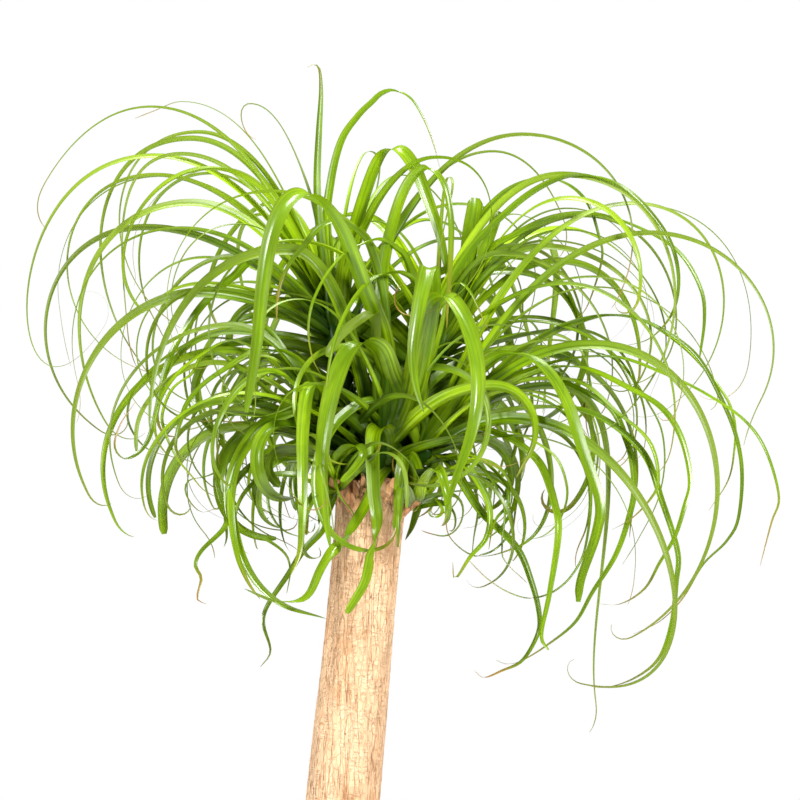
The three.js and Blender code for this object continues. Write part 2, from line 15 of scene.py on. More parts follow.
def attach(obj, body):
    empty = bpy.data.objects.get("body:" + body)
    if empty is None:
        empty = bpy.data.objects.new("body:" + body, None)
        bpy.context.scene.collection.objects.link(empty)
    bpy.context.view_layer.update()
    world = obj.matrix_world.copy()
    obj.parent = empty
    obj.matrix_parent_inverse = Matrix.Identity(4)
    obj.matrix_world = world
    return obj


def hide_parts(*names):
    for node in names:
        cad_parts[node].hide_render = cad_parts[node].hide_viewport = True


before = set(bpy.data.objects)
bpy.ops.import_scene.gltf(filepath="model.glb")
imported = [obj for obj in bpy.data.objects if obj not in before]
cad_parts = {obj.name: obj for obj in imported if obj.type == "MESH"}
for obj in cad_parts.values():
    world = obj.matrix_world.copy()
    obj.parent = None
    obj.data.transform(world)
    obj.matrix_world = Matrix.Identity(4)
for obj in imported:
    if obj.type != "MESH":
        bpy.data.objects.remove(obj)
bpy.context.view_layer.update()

MM = 0.001
TURN = 2 * math.pi

# Pot and soil. A pattern of lumps is given by the width and height of one lump, and by how far the pattern
# is shifted across and up, which sets it apart from the others.
POT = {
    "height": 210,
    "foot": 88,
    "rim": 124,
    "rim_height": 34,
    "rim_step": 6,
    "lip": 2.5,
    "wall": 8,
    "floor": 11,
    "cove": 8,
    "sides": 160,
    "sharp": 50,
}
DRAIN = {"count": 4, "radius": 7, "circle": 48, "first": 45, "drilled": (-6, 24), "sides": 32}
SOIL = {
    "level": 184,
    "mound": 9,
    "gap": 0.35,
    "rings": 44,
    "sides": 144,
    "lumps": (8, 1, 0, 2),
    "lump_height": 1.6,
    "crumbs": (3, 1, 0, 9),
    "crumb_height": 1.12,
}
CHIPS = {
    "count": 620,
    "size": (1.6, 5.2),
    "breadth": (0.5, 0.9),
    "thickness": (0.3, 0.6),
    "from_trunk": 0.5,
    "from_rim": 2.5,
    "raised": 0.2,
    "bumps": 1.3,
    "bump_height": 0.45,
    "apart": 9,
    "tipped": (-0.5, 0.5),  # in radians
    "seed": 5,
}

# Trunk: its line, and its radius at each height above the floor
TRUNK = {
    "top": 800,
    "foot_x": -5,
    "top_x": 53.5,
    "sides": 200,
    "ring_every": 2.6,
    "dome": 5,
    "dome_rings": 8,
    "dome_lumps": (5, 1, 0, 3.3),
    "dome_lump_height": 1.6,
    "dome_depth": 0.4,
    "dome_lump_depth": 0.6,
}
TRUNK_GIRTH = [
    (112, 34),
    (135, 62),
    (160, 75),
    (185, 80),
    (210, 80),
    (240, 73),
    (275, 60),
    (315, 49),
    (360, 42.5),
    (420, 38.6),
    (500, 36.8),
    (580, 35.4),
    (650, 34.1),
    (710, 33.5),
    (760, 34.3),
    (788, 35),
    (800, 32.5),
]
RIDGES = [(0.55, 9, 280), (0.35, 5, -500)]  # height of each ridge, how many round, rise of one turn
SCARS_FROM = 768  # above this the bark is torn by old leaf bases
# The bark's cracks, plates and grit, and how much more it splits between two heights. A gash in its front
# has a place, half a width and height, a lean and a depth. The marks tell the bark's colour how deep in a
# crack or in the gash a point is.
BARK = {
    "long_cracks": (4, 34, 0, 0),
    "fine_cracks": (2.4, 15, 7, 0),
    "plates": (8, 7.5, 0, 31),
    "grit": (3.1, 3.4, 0, 0),
    "torn": (6, 5, 0, 0),
    "long_crack": (0.32, 0.52),
    "fine_crack": (0.3, 0.5),
    "fine_share": 0.6,
    "splits": (690, 790),
    "more_split": 0.16,
    "plate_height": 0.3,
    "grit_height": 0.25,
    "crack_depth": 0.7,
    "torn_height": 2.2,
    "torn_depth": 0.6,
    "torn_rise": 22,
    "gash": (42, 721),
    "gash_reach": (1.6, 11),
    "gash_lean": 0.25,
    "gash_depth": 2.5,
    "crack_mark": 0.75,
    "gash_mark": 2,
    "most_mark": 1.5,
}
# Torn leaf bases round the trunk's top: the height and number of each ring, and the size, lean, curl and
# scatter of the strips
COLLAR = {
    "rings": [(770, 22), (778, 30), (786, 34), (793, 34)],
    "scatter": 0.6,
    "height_scatter": 5,
    "sunk": 0.6,
    "lean": (-0.05, 0.2),
    "aside": 0.4,
    "length": (7, 15),
    "width": (6, 12),
    "curl": (-0.5, 2.5),
    "narrowed": 0.75,
    "narrow_power": 1.5,
    "folded": 0.18,
    "steps": 5,
    "seed": 19,
}

# Stems and leaves, as in the plant's drawing
STEM = {
    "spread": 22.5,
    "foot": 9.6,
    "tip": 10,
    "bend": 0.55,
    "bow": 0.25,
    "sides": 20,
    "rings": 22,
    "groove": 0.06,
    "drawn_points": 60,
    "measured_points": 200,
}
LEAF = {
    "drawn_points": 24,
    "thinnest": 1.2,
    "root_width": 0.5,
    "widened": 0.08,
    "taper": 0.6,
    "slim": (12, 1),  # a width, and the power by which a leaf so wide narrows
    "broad": (19, 2.4),
    "roll": (20, 60),
    "twist": 65,
    "stiff_width": 24,
    "supple_width": 14,
    "upright": 0.25,
    "leaning": 0.3,
}
SWING = {"step": 2.5, "most": 16, "found": 0.3}
GROWTH = {
    "turn": 137.5,
    "turn_scatter": 26,
    "young_lean": 6,
    "old_lean": 76,
    "lean_by_age": 0.8,
    "lean_scatter": 16,
    "most_lean": 86,
    "young_length": 0.75,
    "length_scatter": (0.8, 1.1),
    "straight": 0.15,
    "curved": 0.85,
    "root_bend": 1.4,
    "hang": (185, 290),
    "drift": 0.3,
    "lifted": 0.45,
    "width": (11, 19),
    "young_width": 0.8,
    "trimmed": 0.12,
    "trimmed_to": (0.6, 0.85),
}

# The finer sheet of a leaf. Places along it are shares of its length.
SHEET = {
    "across": (-1, -0.84, -0.58, -0.28, 0, 0.28, 0.58, 0.84, 1),
    "segment": 5,
    "fewest": 26,
    "most": 120,
    "points": 60,
    "gutter": (1.2, 0.7, 0.4),  # depth of its channel, to half its width: at the root, past it, at the tip
    "gutter_ends": 0.18,
    "gutter_scatter": (0.45, 1.5),
    "gutter_scattered": (0, 0.3),
    "gutter_power": 1.5,
    "drooping_edge": 0.1,
    "edge": (0.8, 1),
    "beat": (1.2, 2.6),  # how often it wavers on its way
    "wavers": (0.1, 0.5),
    "wave": 1.6,
    "wave_ends": (0.85, 1),
    "sway": 9,
    "flare": 0.3,  # how much wider than drawn a broad leaf is near its root
    "flare_ends": (0.04, 0.35),
    "inner": 0.94,  # the width of a leaf of the inner mop beside its solid
    "slimmer": 0.28,  # how much thinner than drawn a slender leaf is
    "thinned": 0.5,  # and its outer part, beyond that
    "thins": (0.2, 0.8),
    "spared": 4,  # the power by which a leaf that is cut short thins less
    "finest": 1.1,
    "finest_tip": 0.4,
    "tip": (0.97, 1),
    "cut_end": (0.975, 1),
    "cut_rounded": 0.7,
    "slender": (17, 25),  # widths between which a leaf of the silhouette turns from slender to broad
    "slender_inside": (9, 16),  # and a leaf of the inner mop
    "tone": (0.1, 0.85),
    "dry_tip": (20, 12),
}
# The dry tip of a slim leaf curls on past the end that the drawing gives it.
CURL = {"widest": 18, "length": (0.03, 0.16), "bend": (-40, 180), "aside": 0.8, "power": 1.5, "points": 14}
# Thin leaves beside the drawn ones: how many on each head, how wide and long they are beside those, and
# the scatter of their roll and twist, in radians
WISPS = {"share": 0.1, "width": 0.5, "longer": 1.1, "roll": 1, "twist": 3}
# How each leaf of LED_LEAVES is led: its place on the stem, the share of its way on which it reaches its
# depth, the steps between two of its points, its age, the scatter of its roll and, in radians, of its
# twist, and how much it is turned to the front
LED = {"root": 0.5, "settled": 0.8, "steps": 14, "age": 0.8, "roll": 24, "twist": 0.5, "turned": 1.6}
# What is added to the seed of a head for each kind of draw
SEEDS = {"wisps": 500, "sheets": 1000, "led": 2000}
# The shade that is painted into the leaves' colour inside the mop: the cells in which its leaves are
# counted, how far a point looks for open air, in what steps, and how much of the light a leaf holds back
SHADE = {"cell": 12, "step": 12, "reach": 300, "dense": 0.5}

# Leaves that turn more than once on their way, by the head that they grow from. Each has its width, the
# depth of its tip from the trunk's line (negative to the front), and the points that it passes, to the
# right and up. tone: from dark to light. kept: how much it has narrowed by its cut end. turns_over: the
# shares of its length between which it shows its other face.
LED_LEAVES = {
    "head_upper_left": [
        {"width": 14, "depth": 30, "tone": 0.6, "points": [
            (6, 1000), (0, 1050), (-3, 1100), (-2, 1150), (0, 1190), (-1, 1212), (-6, 1218), (-13, 1215)]},
        {"width": 12, "depth": -60, "tone": 0.5, "points": [
            (-58, 1018), (-88, 1004), (-115, 980), (-134, 955), (-147, 933), (-155, 910), (-160, 885),
            (-164, 862), (-169, 842), (-177, 829), (-189, 822), (-198, 827), (-201, 838), (-196, 855),
            (-188, 868), (-181, 878)]},
        {"width": 18, "depth": -10, "tone": 0.85, "points": [
            (24, 1010), (32, 1045), (44, 1086), (57, 1120), (68, 1132), (81, 1131), (94, 1114),
            (106, 1085), (118, 1050), (126, 1015), (131, 985)]},
        {"width": 12, "depth": 45, "tone": 0.75, "points": [
            (6, 1050), (10, 1100), (21, 1142), (38, 1167), (51, 1180), (62, 1190), (76, 1193),
            (92, 1184), (106, 1160), (115, 1135), (120, 1115)]},
    ],
    "head_upper_right": [
        {"width": 19, "depth": 20, "tone": 0.75, "kept": 0.45, "points": [
            (138, 975), (146, 1015), (152, 1050), (156, 1083)]},
        {"width": 17, "depth": 25, "tone": 0.85, "kept": 0.5, "points": [
            (146, 975), (158, 1012), (169, 1042), (179, 1070)]},
        {"width": 10, "depth": 10, "tone": 0.4, "points": [
            (150, 1040), (180, 1085), (215, 1103), (245, 1098), (268, 1078), (280, 1045), (283, 1020),
            (268, 975), (256, 960)]},
        {"width": 11, "depth": -10, "tone": 0.6, "kept": 0.8, "points": [
            (160, 1020), (200, 1050), (240, 1066), (285, 1066), (330, 1048), (360, 1025), (380, 990),
            (384, 960), (379, 922)]},
    ],
    "head_centre": [
        {"width": 20, "depth": -170, "tone": 0.6, "kept": 0.93, "points": [
            (66, 930), (44, 995), (20, 1055), (-6, 1083), (-28, 1074), (-43, 1040), (-52, 990),
            (-58, 935), (-68, 868)]},
        {"width": 22, "depth": -110, "tone": 0.75, "points": [
            (78, 880), (70, 908), (60, 932), (43, 940), (28, 928), (16, 895), (7, 855), (3, 815),
            (6, 780), (12, 735)]},
        {"width": 20, "depth": -150, "tone": 0.5, "points": [
            (92, 885), (106, 945), (112, 990), (109, 1013), (103, 995), (96, 960), (92, 928), (95, 895),
            (103, 868)]},
        {"width": 20, "depth": -165, "tone": 0.7, "points": [
            (88, 880), (98, 935), (110, 977), (126, 986), (141, 968), (150, 940), (154, 905),
            (152, 870), (145, 835), (132, 798), (123, 770)]},
        {"width": 15, "depth": -110, "tone": 0.8, "kept": 0.8, "turns_over": (0.55, 0.86), "points": [
            (70, 832), (68, 850), (61, 857), (54, 848), (53, 820), (54, 790), (57, 762), (54, 738),
            (50, 728), (49, 718), (44, 700), (28, 672)]},
        {"width": 14, "depth": -60, "points": [
            (68, 935), (52, 1030), (30, 1055), (15, 1058), (0, 1050), (-15, 1033), (-28, 1018),
            (-37, 1000), (-41, 980), (-42, 955)]},
        {"width": 15, "depth": -110, "tone": 0.75, "turns_over": (0.4, 0.6), "points": [
            (74, 826), (67, 816), (58, 804), (50, 784), (38, 764), (27, 746), (12, 730), (2, 714),
            (-8, 692), (-20, 684), (-42, 684), (-72, 696)]},
        {"width": 9, "depth": -80, "points": [
            (100, 890), (120, 950), (127, 985), (137, 996), (148, 988), (158, 968), (166, 950)]},
        {"width": 15, "depth": -90, "tone": 0.7, "points": [
            (30, 864), (2, 873), (-22, 870), (-52, 857), (-70, 837), (-83, 814), (-89, 786), (-85, 758),
            (-75, 727), (-57, 699), (-30, 678), (7, 666)]},
        {"width": 12, "depth": -30, "points": [
            (130, 1000), (190, 1070), (250, 1103), (300, 1093), (340, 1050), (355, 1010), (352, 970),
            (330, 942), (300, 933), (284, 931)]},
        {"width": 15, "depth": -70, "tone": 0.65, "points": [
            (62, 985), (65, 1030), (76, 1071), (89, 1097), (104, 1110), (115, 1107), (126, 1090),
            (131, 1060), (130, 1030), (127, 985), (126, 950)]},
    ],
    "head_right": [
        {"width": 13, "depth": -100, "tone": 0.6, "points": [
            (105, 852), (92, 870), (76, 879), (59, 882), (38, 876), (18, 860), (4, 837), (-3, 810),
            (-1, 780), (10, 755), (28, 739), (50, 733), (68, 739), (77, 756), (78, 772)]},
        {"width": 11, "depth": -95, "tone": 0.8, "points": [
            (104, 950), (90, 1015), (76, 1032), (58, 1040), (42, 1035), (25, 1025), (10, 1008),
            (0, 990), (-7, 970), (-9, 945), (-5, 920), (2, 906)]},
        {"width": 12, "depth": -95, "tone": 0.8, "points": [
            (108, 930), (100, 990), (84, 1006), (68, 1007), (52, 1000), (38, 985), (28, 968), (20, 950),
            (14, 930), (10, 908), (6, 880), (2, 868)]},
        {"width": 17, "depth": -130, "tone": 0.6, "kept": 0.8, "points": [
            (132, 875), (160, 912), (190, 928), (220, 915), (243, 880), (259, 829), (274, 783),
            (271, 752), (256, 707), (253, 684)]},
        {"width": 10, "depth": -60, "points": [
            (127, 826), (149, 812), (167, 778), (166, 745), (149, 724), (134, 704), (132, 720)]},
        {"width": 9, "depth": -40, "points": [
            (200, 930), (290, 966), (365, 935), (402, 875), (418, 820), (416, 765), (404, 740),
            (381, 717), (361, 684), (338, 661), (311, 648)]},
        {"width": 5, "depth": -10, "points": [
            (190, 915), (285, 925), (332, 870), (344, 829), (338, 783), (318, 742), (302, 716)]},
        {"width": 11, "depth": -50, "points": [
            (170, 890), (250, 902), (298, 867), (327, 838), (335, 800), (325, 779), (308, 762),
            (290, 752)]},
        {"width": 5, "depth": -60, "points": [
            (150, 820), (182, 780), (181, 740), (183, 722), (205, 700)]},
        {"width": 5, "depth": -70, "points": [
            (180, 885), (245, 865), (268, 800), (264, 737), (250, 707), (230, 690), (208, 685),
            (185, 692), (164, 706), (146, 724)]},
        {"width": 8, "depth": -40, "points": [
            (150, 825), (184, 800), (186, 778), (174, 762), (168, 732)]},
        {"width": 4, "depth": -50, "points": [
            (170, 800), (191, 760), (180, 736), (162, 726), (144, 731), (128, 746), (125, 766)]},
        {"width": 6, "depth": -30, "points": [
            (170, 850), (228, 830), (246, 795), (240, 764), (222, 745), (198, 741)]},
        {"width": 11, "depth": -50, "tone": 0.5, "points": [
            (200, 900), (280, 880), (305, 840), (312, 795), (305, 760), (292, 725), (270, 690),
            (253, 660), (225, 637), (200, 622), (185, 619), (175, 623)]},
        {"width": 12, "depth": -60, "tone": 0.6, "points": [
            (150, 860), (215, 875), (270, 868), (320, 830), (340, 780), (355, 730), (353, 700),
            (348, 660), (335, 625), (310, 605), (280, 596), (262, 600)]},
        {"width": 12, "depth": -90, "tone": 0.7, "points": [
            (150, 870), (200, 902), (255, 914), (310, 890), (340, 870), (358, 840), (366, 800),
            (360, 775), (350, 745), (335, 720), (320, 695), (295, 680), (270, 681)]},
        {"width": 9, "depth": -15, "points": [
            (180, 910), (240, 950), (305, 965), (360, 935), (400, 890), (413, 860), (413, 830),
            (407, 800), (388, 770)]},
        {"width": 9, "depth": -75, "tone": 0.8, "points": [
            (170, 890), (230, 918), (290, 924), (345, 905), (385, 885), (420, 860), (440, 830),
            (452, 785), (445, 760), (434, 717)]},
        {"width": 12, "depth": -105, "tone": 0.8, "kept": 0.9, "points": [
            (150, 850), (180, 846), (200, 835), (220, 815), (232, 780), (235, 750), (225, 690),
            (218, 650), (225, 636)]},
        {"width": 10, "depth": -90, "tone": 0.4, "points": [
            (120, 825), (135, 810), (160, 770), (195, 735), (210, 700), (217, 670), (215, 650),
            (200, 625), (180, 615), (162, 608), (153, 615)]},
    ],
    "head_left": [
        {"width": 12, "depth": -60, "points": [
            (-20, 868), (-39, 865), (-66, 853), (-83, 837), (-98, 803), (-92, 770), (-94, 754),
            (-116, 732), (-122, 717), (-116, 704), (-120, 684), (-111, 679)]},
        {"width": 16, "depth": -140, "tone": 0.85, "points": [
            (8, 870), (8, 888), (-2, 899), (-11, 890), (-14, 850), (-14, 810), (-15, 770), (-18, 732),
            (-26, 710)]},
        {"width": 14, "depth": -90, "tone": 0.8, "points": [
            (-20, 887), (-37, 869), (-52, 858), (-64, 846), (-74, 833), (-81, 818), (-84, 802),
            (-86, 783), (-85, 762), (-82, 741), (-77, 720), (-68, 700), (-57, 685)]},
        {"width": 7, "depth": -50, "points": [
            (-14, 842), (-44, 826), (-53, 800), (-48, 771), (-34, 751), (-17, 744)]},
        {"width": 5, "depth": -30, "points": [
            (-50, 846), (-104, 808), (-130, 800), (-132, 785), (-118, 769), (-101, 773)]},
        {"width": 8, "depth": -50, "points": [
            (-50, 850), (-100, 808), (-80, 753), (-52, 740), (-33, 727), (-28, 711), (-32, 689)]},
        {"width": 11, "depth": -40, "points": [
            (-24, 916), (-58, 943), (-80, 942), (-98, 938), (-115, 928), (-130, 917), (-142, 905),
            (-152, 890), (-158, 875), (-162, 855), (-159, 838), (-149, 825), (-135, 821)]},
        {"width": 14, "depth": -70, "tone": 0.6, "points": [
            (-12, 905), (-35, 928), (-58, 930), (-75, 923), (-92, 912), (-110, 900), (-123, 888),
            (-132, 875), (-136, 862), (-140, 848), (-141, 833), (-135, 823), (-121, 818)]},
        {"width": 7, "depth": -50, "tone": 0.9, "points": [
            (-100, 925), (-130, 905), (-148, 890), (-156, 865), (-152, 848), (-145, 833), (-137, 820),
            (-125, 805), (-115, 792), (-102, 784)]},
        {"width": 8, "depth": -30, "tone": 0.5, "points": [
            (-50, 950), (-100, 950), (-135, 935), (-160, 918), (-182, 895), (-189, 880), (-191, 865),
            (-188, 853), (-180, 840), (-170, 831), (-157, 826), (-142, 823), (-128, 820)]},
        {"width": 11, "depth": -10, "tone": 0.3, "points": [
            (-40, 920), (-72, 912), (-81, 900), (-90, 883), (-98, 868), (-101, 852), (-103, 836),
            (-101, 820), (-98, 810)]},
        {"width": 8, "depth": -100, "tone": 0.95, "points": [
            (10, 872), (-10, 880), (-20, 877), (-40, 868), (-58, 864), (-75, 865), (-90, 868),
            (-106, 872), (-113, 877)]},
    ],
    "shoot_right": [
        {"width": 7, "depth": -50, "points": [
            (110, 786), (119, 778), (121, 770), (115, 764), (109, 768), (112, 773)]},
        {"width": 16, "depth": -60, "tone": 0.8, "kept": 0.85, "points": [
            (96, 804), (92, 824), (84, 829), (81, 812), (80, 784), (75, 752)]},
    ],
    "shoot_left": [
        {"width": 9, "depth": -80, "points": [
            (8, 772), (2, 750), (-19, 727), (-39, 696), (-52, 671), (-53, 656), (-48, 632), (-57, 618)]},
        {"width": 13, "depth": -80, "tone": 0.75, "kept": 0.8, "points": [
            (14, 812), (18, 824), (28, 835), (40, 836), (44, 826), (34, 812), (22, 800)]},
        {"width": 11, "depth": -70, "tone": 0.7, "points": [
            (24, 798), (34, 806), (46, 816), (56, 826), (62, 838)]},
    ],
}

# The heads of the plant. foot: compass point and height where the stem leaves the trunk; crown: where the
# youngest leaves stand; tilt: how far the rosette leans, and to which compass point; count, length,
# depth, lowest: the leaves that grow by the rule; front_gap: half the angle to the front in which none of
# them grows. outer: how many leaves stand out in the silhouette. arches: those of them that arch over
# plainly, by number, where the others are among LED_LEAVES. Each has its width, highest point, tip,
# direction of the tip, how full the arch is, and how much it has narrowed by its end, if it was cut short.
HEADS = [
    {
        "name": "head_upper_left", "girth": 1, "foot": (150, 786), "crown": (10, 45, 972),
        "tilt": (17, 160), "count": 36, "length": 540, "depth": 60, "lowest": 830, "front_gap": 50,
        "seed": 11, "outer": 16,
        "arches": {
            0: (14, (-165, 10, 1125), (-218, -10, 949), 325, 0.93),
            1: (9, (-172, 30, 1176), (-277, 20, 1097), 152),
            2: (6, (-142, 60, 1183), (-171, 66, 1173), 110),
            3: (10, (-126, 75, 1152), (-162, 95, 967), 232),
            4: (14, (-136, 50, 1146), (-195, 60, 927), 216),
            5: (12, (-169, 55, 1108), (-182, 40, 911), 250),
            6: (11, (-140, 20, 1126), (-196, 0, 952), 186),
            7: (17, (-130, 0, 1078), (-215, -20, 858), 213),
            8: (14, (-175, 40, 1055), (-226, 50, 850), 235),
            9: (18, (-120, -10, 988), (-233, -30, 790), 205),
            12: (12, (-72, 70, 1180), (-78, 78, 1156), 205),
            14: (13, (202, 0, 1147), (301, -20, 990), 205),
            15: (12, (174, 60, 1132), (243, 80, 1073), 155),
        },
    },
    {
        "name": "head_upper_right", "girth": 1, "foot": (30, 786), "crown": (132, 35, 950),
        "tilt": (15, 20), "count": 34, "length": 520, "depth": 60, "lowest": 840, "front_gap": 50,
        "seed": 23, "outer": 10,
        "arches": {
            4: (11, (127, 0, 1103), (117, -20, 1018), 183),
            5: (13, (230, 25, 1041), (330, 20, 930), 205),
            6: (14, (225, 5, 1034), (323, -5, 905), 207),
            7: (12, (180, 0, 1027), (284, -20, 873), 200),
            8: (10, (195, 30, 1035), (267, 30, 888), 186),
            9: (12, (265, 40, 1067), (284, 50, 896), 280, 0.9),
        },
    },
    {
        "name": "head_centre", "girth": 1, "foot": (270, 786), "crown": (75, -30, 850),
        "tilt": (12, 270), "count": 26, "length": 430, "depth": 45, "lowest": 770, "front_gap": 55,
        "seed": 37, "outer": 12,
        "arches": {
            0: (14, (240, -30, 1103), (320, -35, 885), 218),
            8: (17, (48, -60, 968), (0, -75, 923), 135, 1, 0.6),
            9: (20, (-30, -40, 1030), (-166, -70, 850), 183),
        },
    },
    {
        "name": "head_right", "girth": 1, "foot": (330, 786), "crown": (108, -15, 830),
        "tilt": (20, 350), "count": 24, "length": 420, "depth": 40, "lowest": 690, "front_gap": 50,
        "seed": 41, "outer": 17,
        "arches": {
            0: (16, (310, -20, 1077), (353, -10, 875), 232),
            1: (14, (328, -40, 1046), (436, -60, 878), 208),
            4: (17, (270, -45, 936), (311, -60, 647), 243, 0.9),
            5: (6, (276, 0, 992), (398, 10, 888), 170),
            8: (17, (190, -55, 863), (260, -80, 601), 280, 0.85),
            12: (14, (230, 10, 895), (276, 0, 578), 172, 0.9),
        },
    },
    {
        "name": "head_left", "girth": 1, "foot": (210, 786), "crown": (4, -5, 850),
        "tilt": (20, 190), "count": 34, "length": 360, "depth": 40, "lowest": 730, "front_gap": 45,
        "seed": 53, "outer": 6,
        "arches": {
            4: (15, (-90, -30, 955), (-200, -40, 800), 200),
        },
    },
    {
        "name": "head_back", "girth": 1, "foot": (90, 786), "crown": (68, 62, 868),
        "tilt": (20, 90), "count": 44, "length": 430, "depth": 50, "lowest": 740, "front_gap": 60,
        "seed": 67, "outer": 0,
        "arches": {},
    },
    {
        "name": "shoot_right", "girth": 0.6, "foot": (345, 748), "crown": (99, -16, 783),
        "tilt": (30, 350), "count": 9, "length": 230, "depth": 12, "lowest": 740, "front_gap": 0,
        "seed": 71, "outer": 0,
        "arches": {},
    },
    {
        "name": "shoot_left", "girth": 0.6, "foot": (235, 755), "crown": (14, -42, 800),
        "tilt": (30, 225), "count": 8, "length": 210, "depth": 12, "lowest": 720, "front_gap": 0,
        "seed": 83, "outer": 0,
        "arches": {},
    },
]

# Studio, in metres
SKY_LIGHT = 0.15  # the white surroundings' light on the plant, where the camera sees them as 1
FLOOR = {"radius": 1.8, "below": 0.0004, "sides": 128}
LOOK_AT = (0.07, 0, 0.85)
# Each light has its name, place, size and power
LIGHTS = [
    ("key", (1.6, -2.0, 2.2), 0.7, 140),
    ("fill", (-2.2, -1.6, 1.5), 0.9, 88),
    ("top", (0.1, 0.4, 2.7), 0.8, 66),
]
CAMERA = {"place": (0.08, -4.444, 0.88), "lens": 200, "sensor": 36}

UP = np.array([0.0, 0.0, 1.0])
ACROSS = np.array([1.0, 0.0, 0.0])
BACK = np.array([0.0, 1.0, 0.0])


def blend(start, end, share):
    return start + (end - start) * share


def clamp(low, high, value):
    return min(high, max(low, value))


def smooth(low, high, value):
    """0 at low and 1 at high, with a smooth step between them."""
    share = np.clip((np.asarray(value, float) - low) / (high - low), 0, 1)
    return share * share * (3 - 2 * share)


def unit(vector):
    return vector / np.linalg.norm(vector)


def units(vectors):
    return vectors / np.linalg.norm(vectors, axis=1)[:, None]


def level(vector):
    """The level part of a vector."""
    return np.array([vector[0], vector[1], 0.0])


def around(turn):
    """The level direction at an angle in radians."""
    return np.array([math.cos(turn), math.sin(turn), 0.0])


def compass(degrees):
    return around(math.radians(degrees))


def turns_round(sides):
    return np.arange(sides) / sides * TURN


def spin(turn):
    """The matrix of a turn about the upright line."""
    c, s = math.cos(turn), math.sin(turn)
    return np.array([[c, -s, 0], [s, c, 0], [0, 0, 1]])


def square_to(ahead, vector):
    """The direction nearest to a vector that is square to another."""
    return unit(vector - ahead * np.dot(vector, ahead))


def draws_from(seed):
    """Draws from 0 to 1 that are the same in every run."""
    factor, step, states = 1664525, 1013904223, 2**32
    state = seed

    def draw():
        nonlocal state
        state = (factor * state + step) % states
        return state / states

    return draw


def lumps(x, y, z, pattern):
    """Soft lumps, from about -1 to 1."""
    width, height, across, up = pattern
    return noise.noise(Vector((x / width + across, y / width, z / height + up)))


# Meshes


class Build:
    """Gathers points and faces in millimetres, with the marks that materials read, for one piece."""

    def __init__(self):
        self.points = []
        self.faces = []
        self.finishes = []
        self.marks = {}
        self.count = 0

    def add(self, points, faces, finish=0, **marks):
        points = np.asarray(points, float).reshape(-1, 3)
        self.points.append(points)
        self.faces += [tuple(int(i) + self.count for i in face) for face in faces]
        self.finishes += [finish] * len(faces)
        for name, values in marks.items():
            earlier = self.marks.setdefault(name, [])
            missing = self.count - sum(len(part) for part in earlier)
            earlier.append(np.zeros(missing))
            earlier.append(np.broadcast_to(np.asarray(values, float), (len(points),)))
        self.count += len(points)

    def mesh_object(self, name, materials=()):
        mesh = bpy.data.meshes.new(name)
        mesh.from_pydata((np.concatenate(self.points) * MM).tolist(), [], self.faces)
        for mark, parts in self.marks.items():
            values = np.concatenate(parts)
            values = np.concatenate([values, np.zeros(self.count - len(values))])
            mesh.attributes.new(mark, "FLOAT", "POINT").data.foreach_set("value", values.astype(np.float32))
        for material in materials:
            mesh.materials.append(material)
        mesh.polygons.foreach_set("material_index", self.finishes)
        mesh.validate()
        mesh.shade_smooth()
        obj = bpy.data.objects.new(name, mesh)
        bpy.context.scene.collection.objects.link(obj)
        return obj

    def piece(self, name, materials, slot, replaces=None):
        obj = self.mesh_object(name, materials)
        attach(obj, "root")
        if replaces:
            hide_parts(replaces)
        return obj


def grid_faces(rows, columns, closed=False):
    """The faces of a sheet of points laid row by row. A closed one joins its last column to its first."""
    faces = []
    for start in range(0, (rows - 1) * columns, columns):
        for column in range(columns if closed else columns - 1):
            near, beside = start + column, start + (column + 1) % columns
            faces.append((near, beside, beside + columns, near + columns))
    return faces


def fan(centre, ring):
    return [(centre, ring[i], ring[(i + 1) % len(ring)]) for i in range(len(ring))]


def capped_faces(rows, sides):
    """The faces of a closed body of rings. The middles of its first and last ring come after the rings."""
    count = rows * sides
    faces = grid_faces(rows, sides, closed=True)
    faces += fan(count, list(range(sides))[::-1])
    return faces + fan(count + 1, list(range(count - sides, count)))


# Materials

# A pattern is laid over the plant with so many cells to the metre along each axis. In a sum each number is
# the share of a pattern, and in a step the two numbers are the values between which it comes in.


def paint(red, green, blue):
    """A colour of the screen, from 0 to 255, as light."""
    shares = [part / 255 for part in (red, green, blue)]
    light = [s / 12.92 if s <= 0.04045 else ((s + 0.055) / 1.055) ** 2.4 for s in shares]
    return (*light, 1.0)


LEAF_SHADE = paint(14, 46, 0)
LEAF_DARK = paint(22, 46, 0)
LEAF_MID = paint(96, 133, 0)
LEAF_LIGHT = paint(164, 198, 6)
LEAF_STRIPE = paint(136, 166, 16)
LEAF_OLIVE = paint(108, 126, 34)
LEAF_BASE = paint(176, 212, 0)
LEAF_EDGE = paint(98, 108, 20)
LEAF_TIP = paint(150, 104, 50)
LEAF_GLOW = paint(134, 176, 10)
BARK_PALE = paint(222, 190, 154)
BARK_TAN = paint(213, 176, 138)
BARK_WARM = paint(200, 154, 112)
BARK_LINE = paint(188, 134, 86)
BARK_CRACK = paint(118, 72, 42)
BARK_SCAR = paint(208, 150, 100)
BARK_DARK = paint(104, 66, 40)
CLAY_BRIGHT = paint(200, 122, 86)
CLAY_DULL = paint(166, 94, 66)
CLAY_BLOOM = paint(222, 186, 160)
SOIL_DARK = paint(44, 31, 24)
SOIL_BROWN = paint(84, 60, 42)
CHIP_BROWN = paint(122, 82, 54)
CHIP_PALE = paint(190, 160, 124)
FLOOR_PALE = paint(244, 243, 240)
FLOOR_SPECK = paint(225, 224, 221)


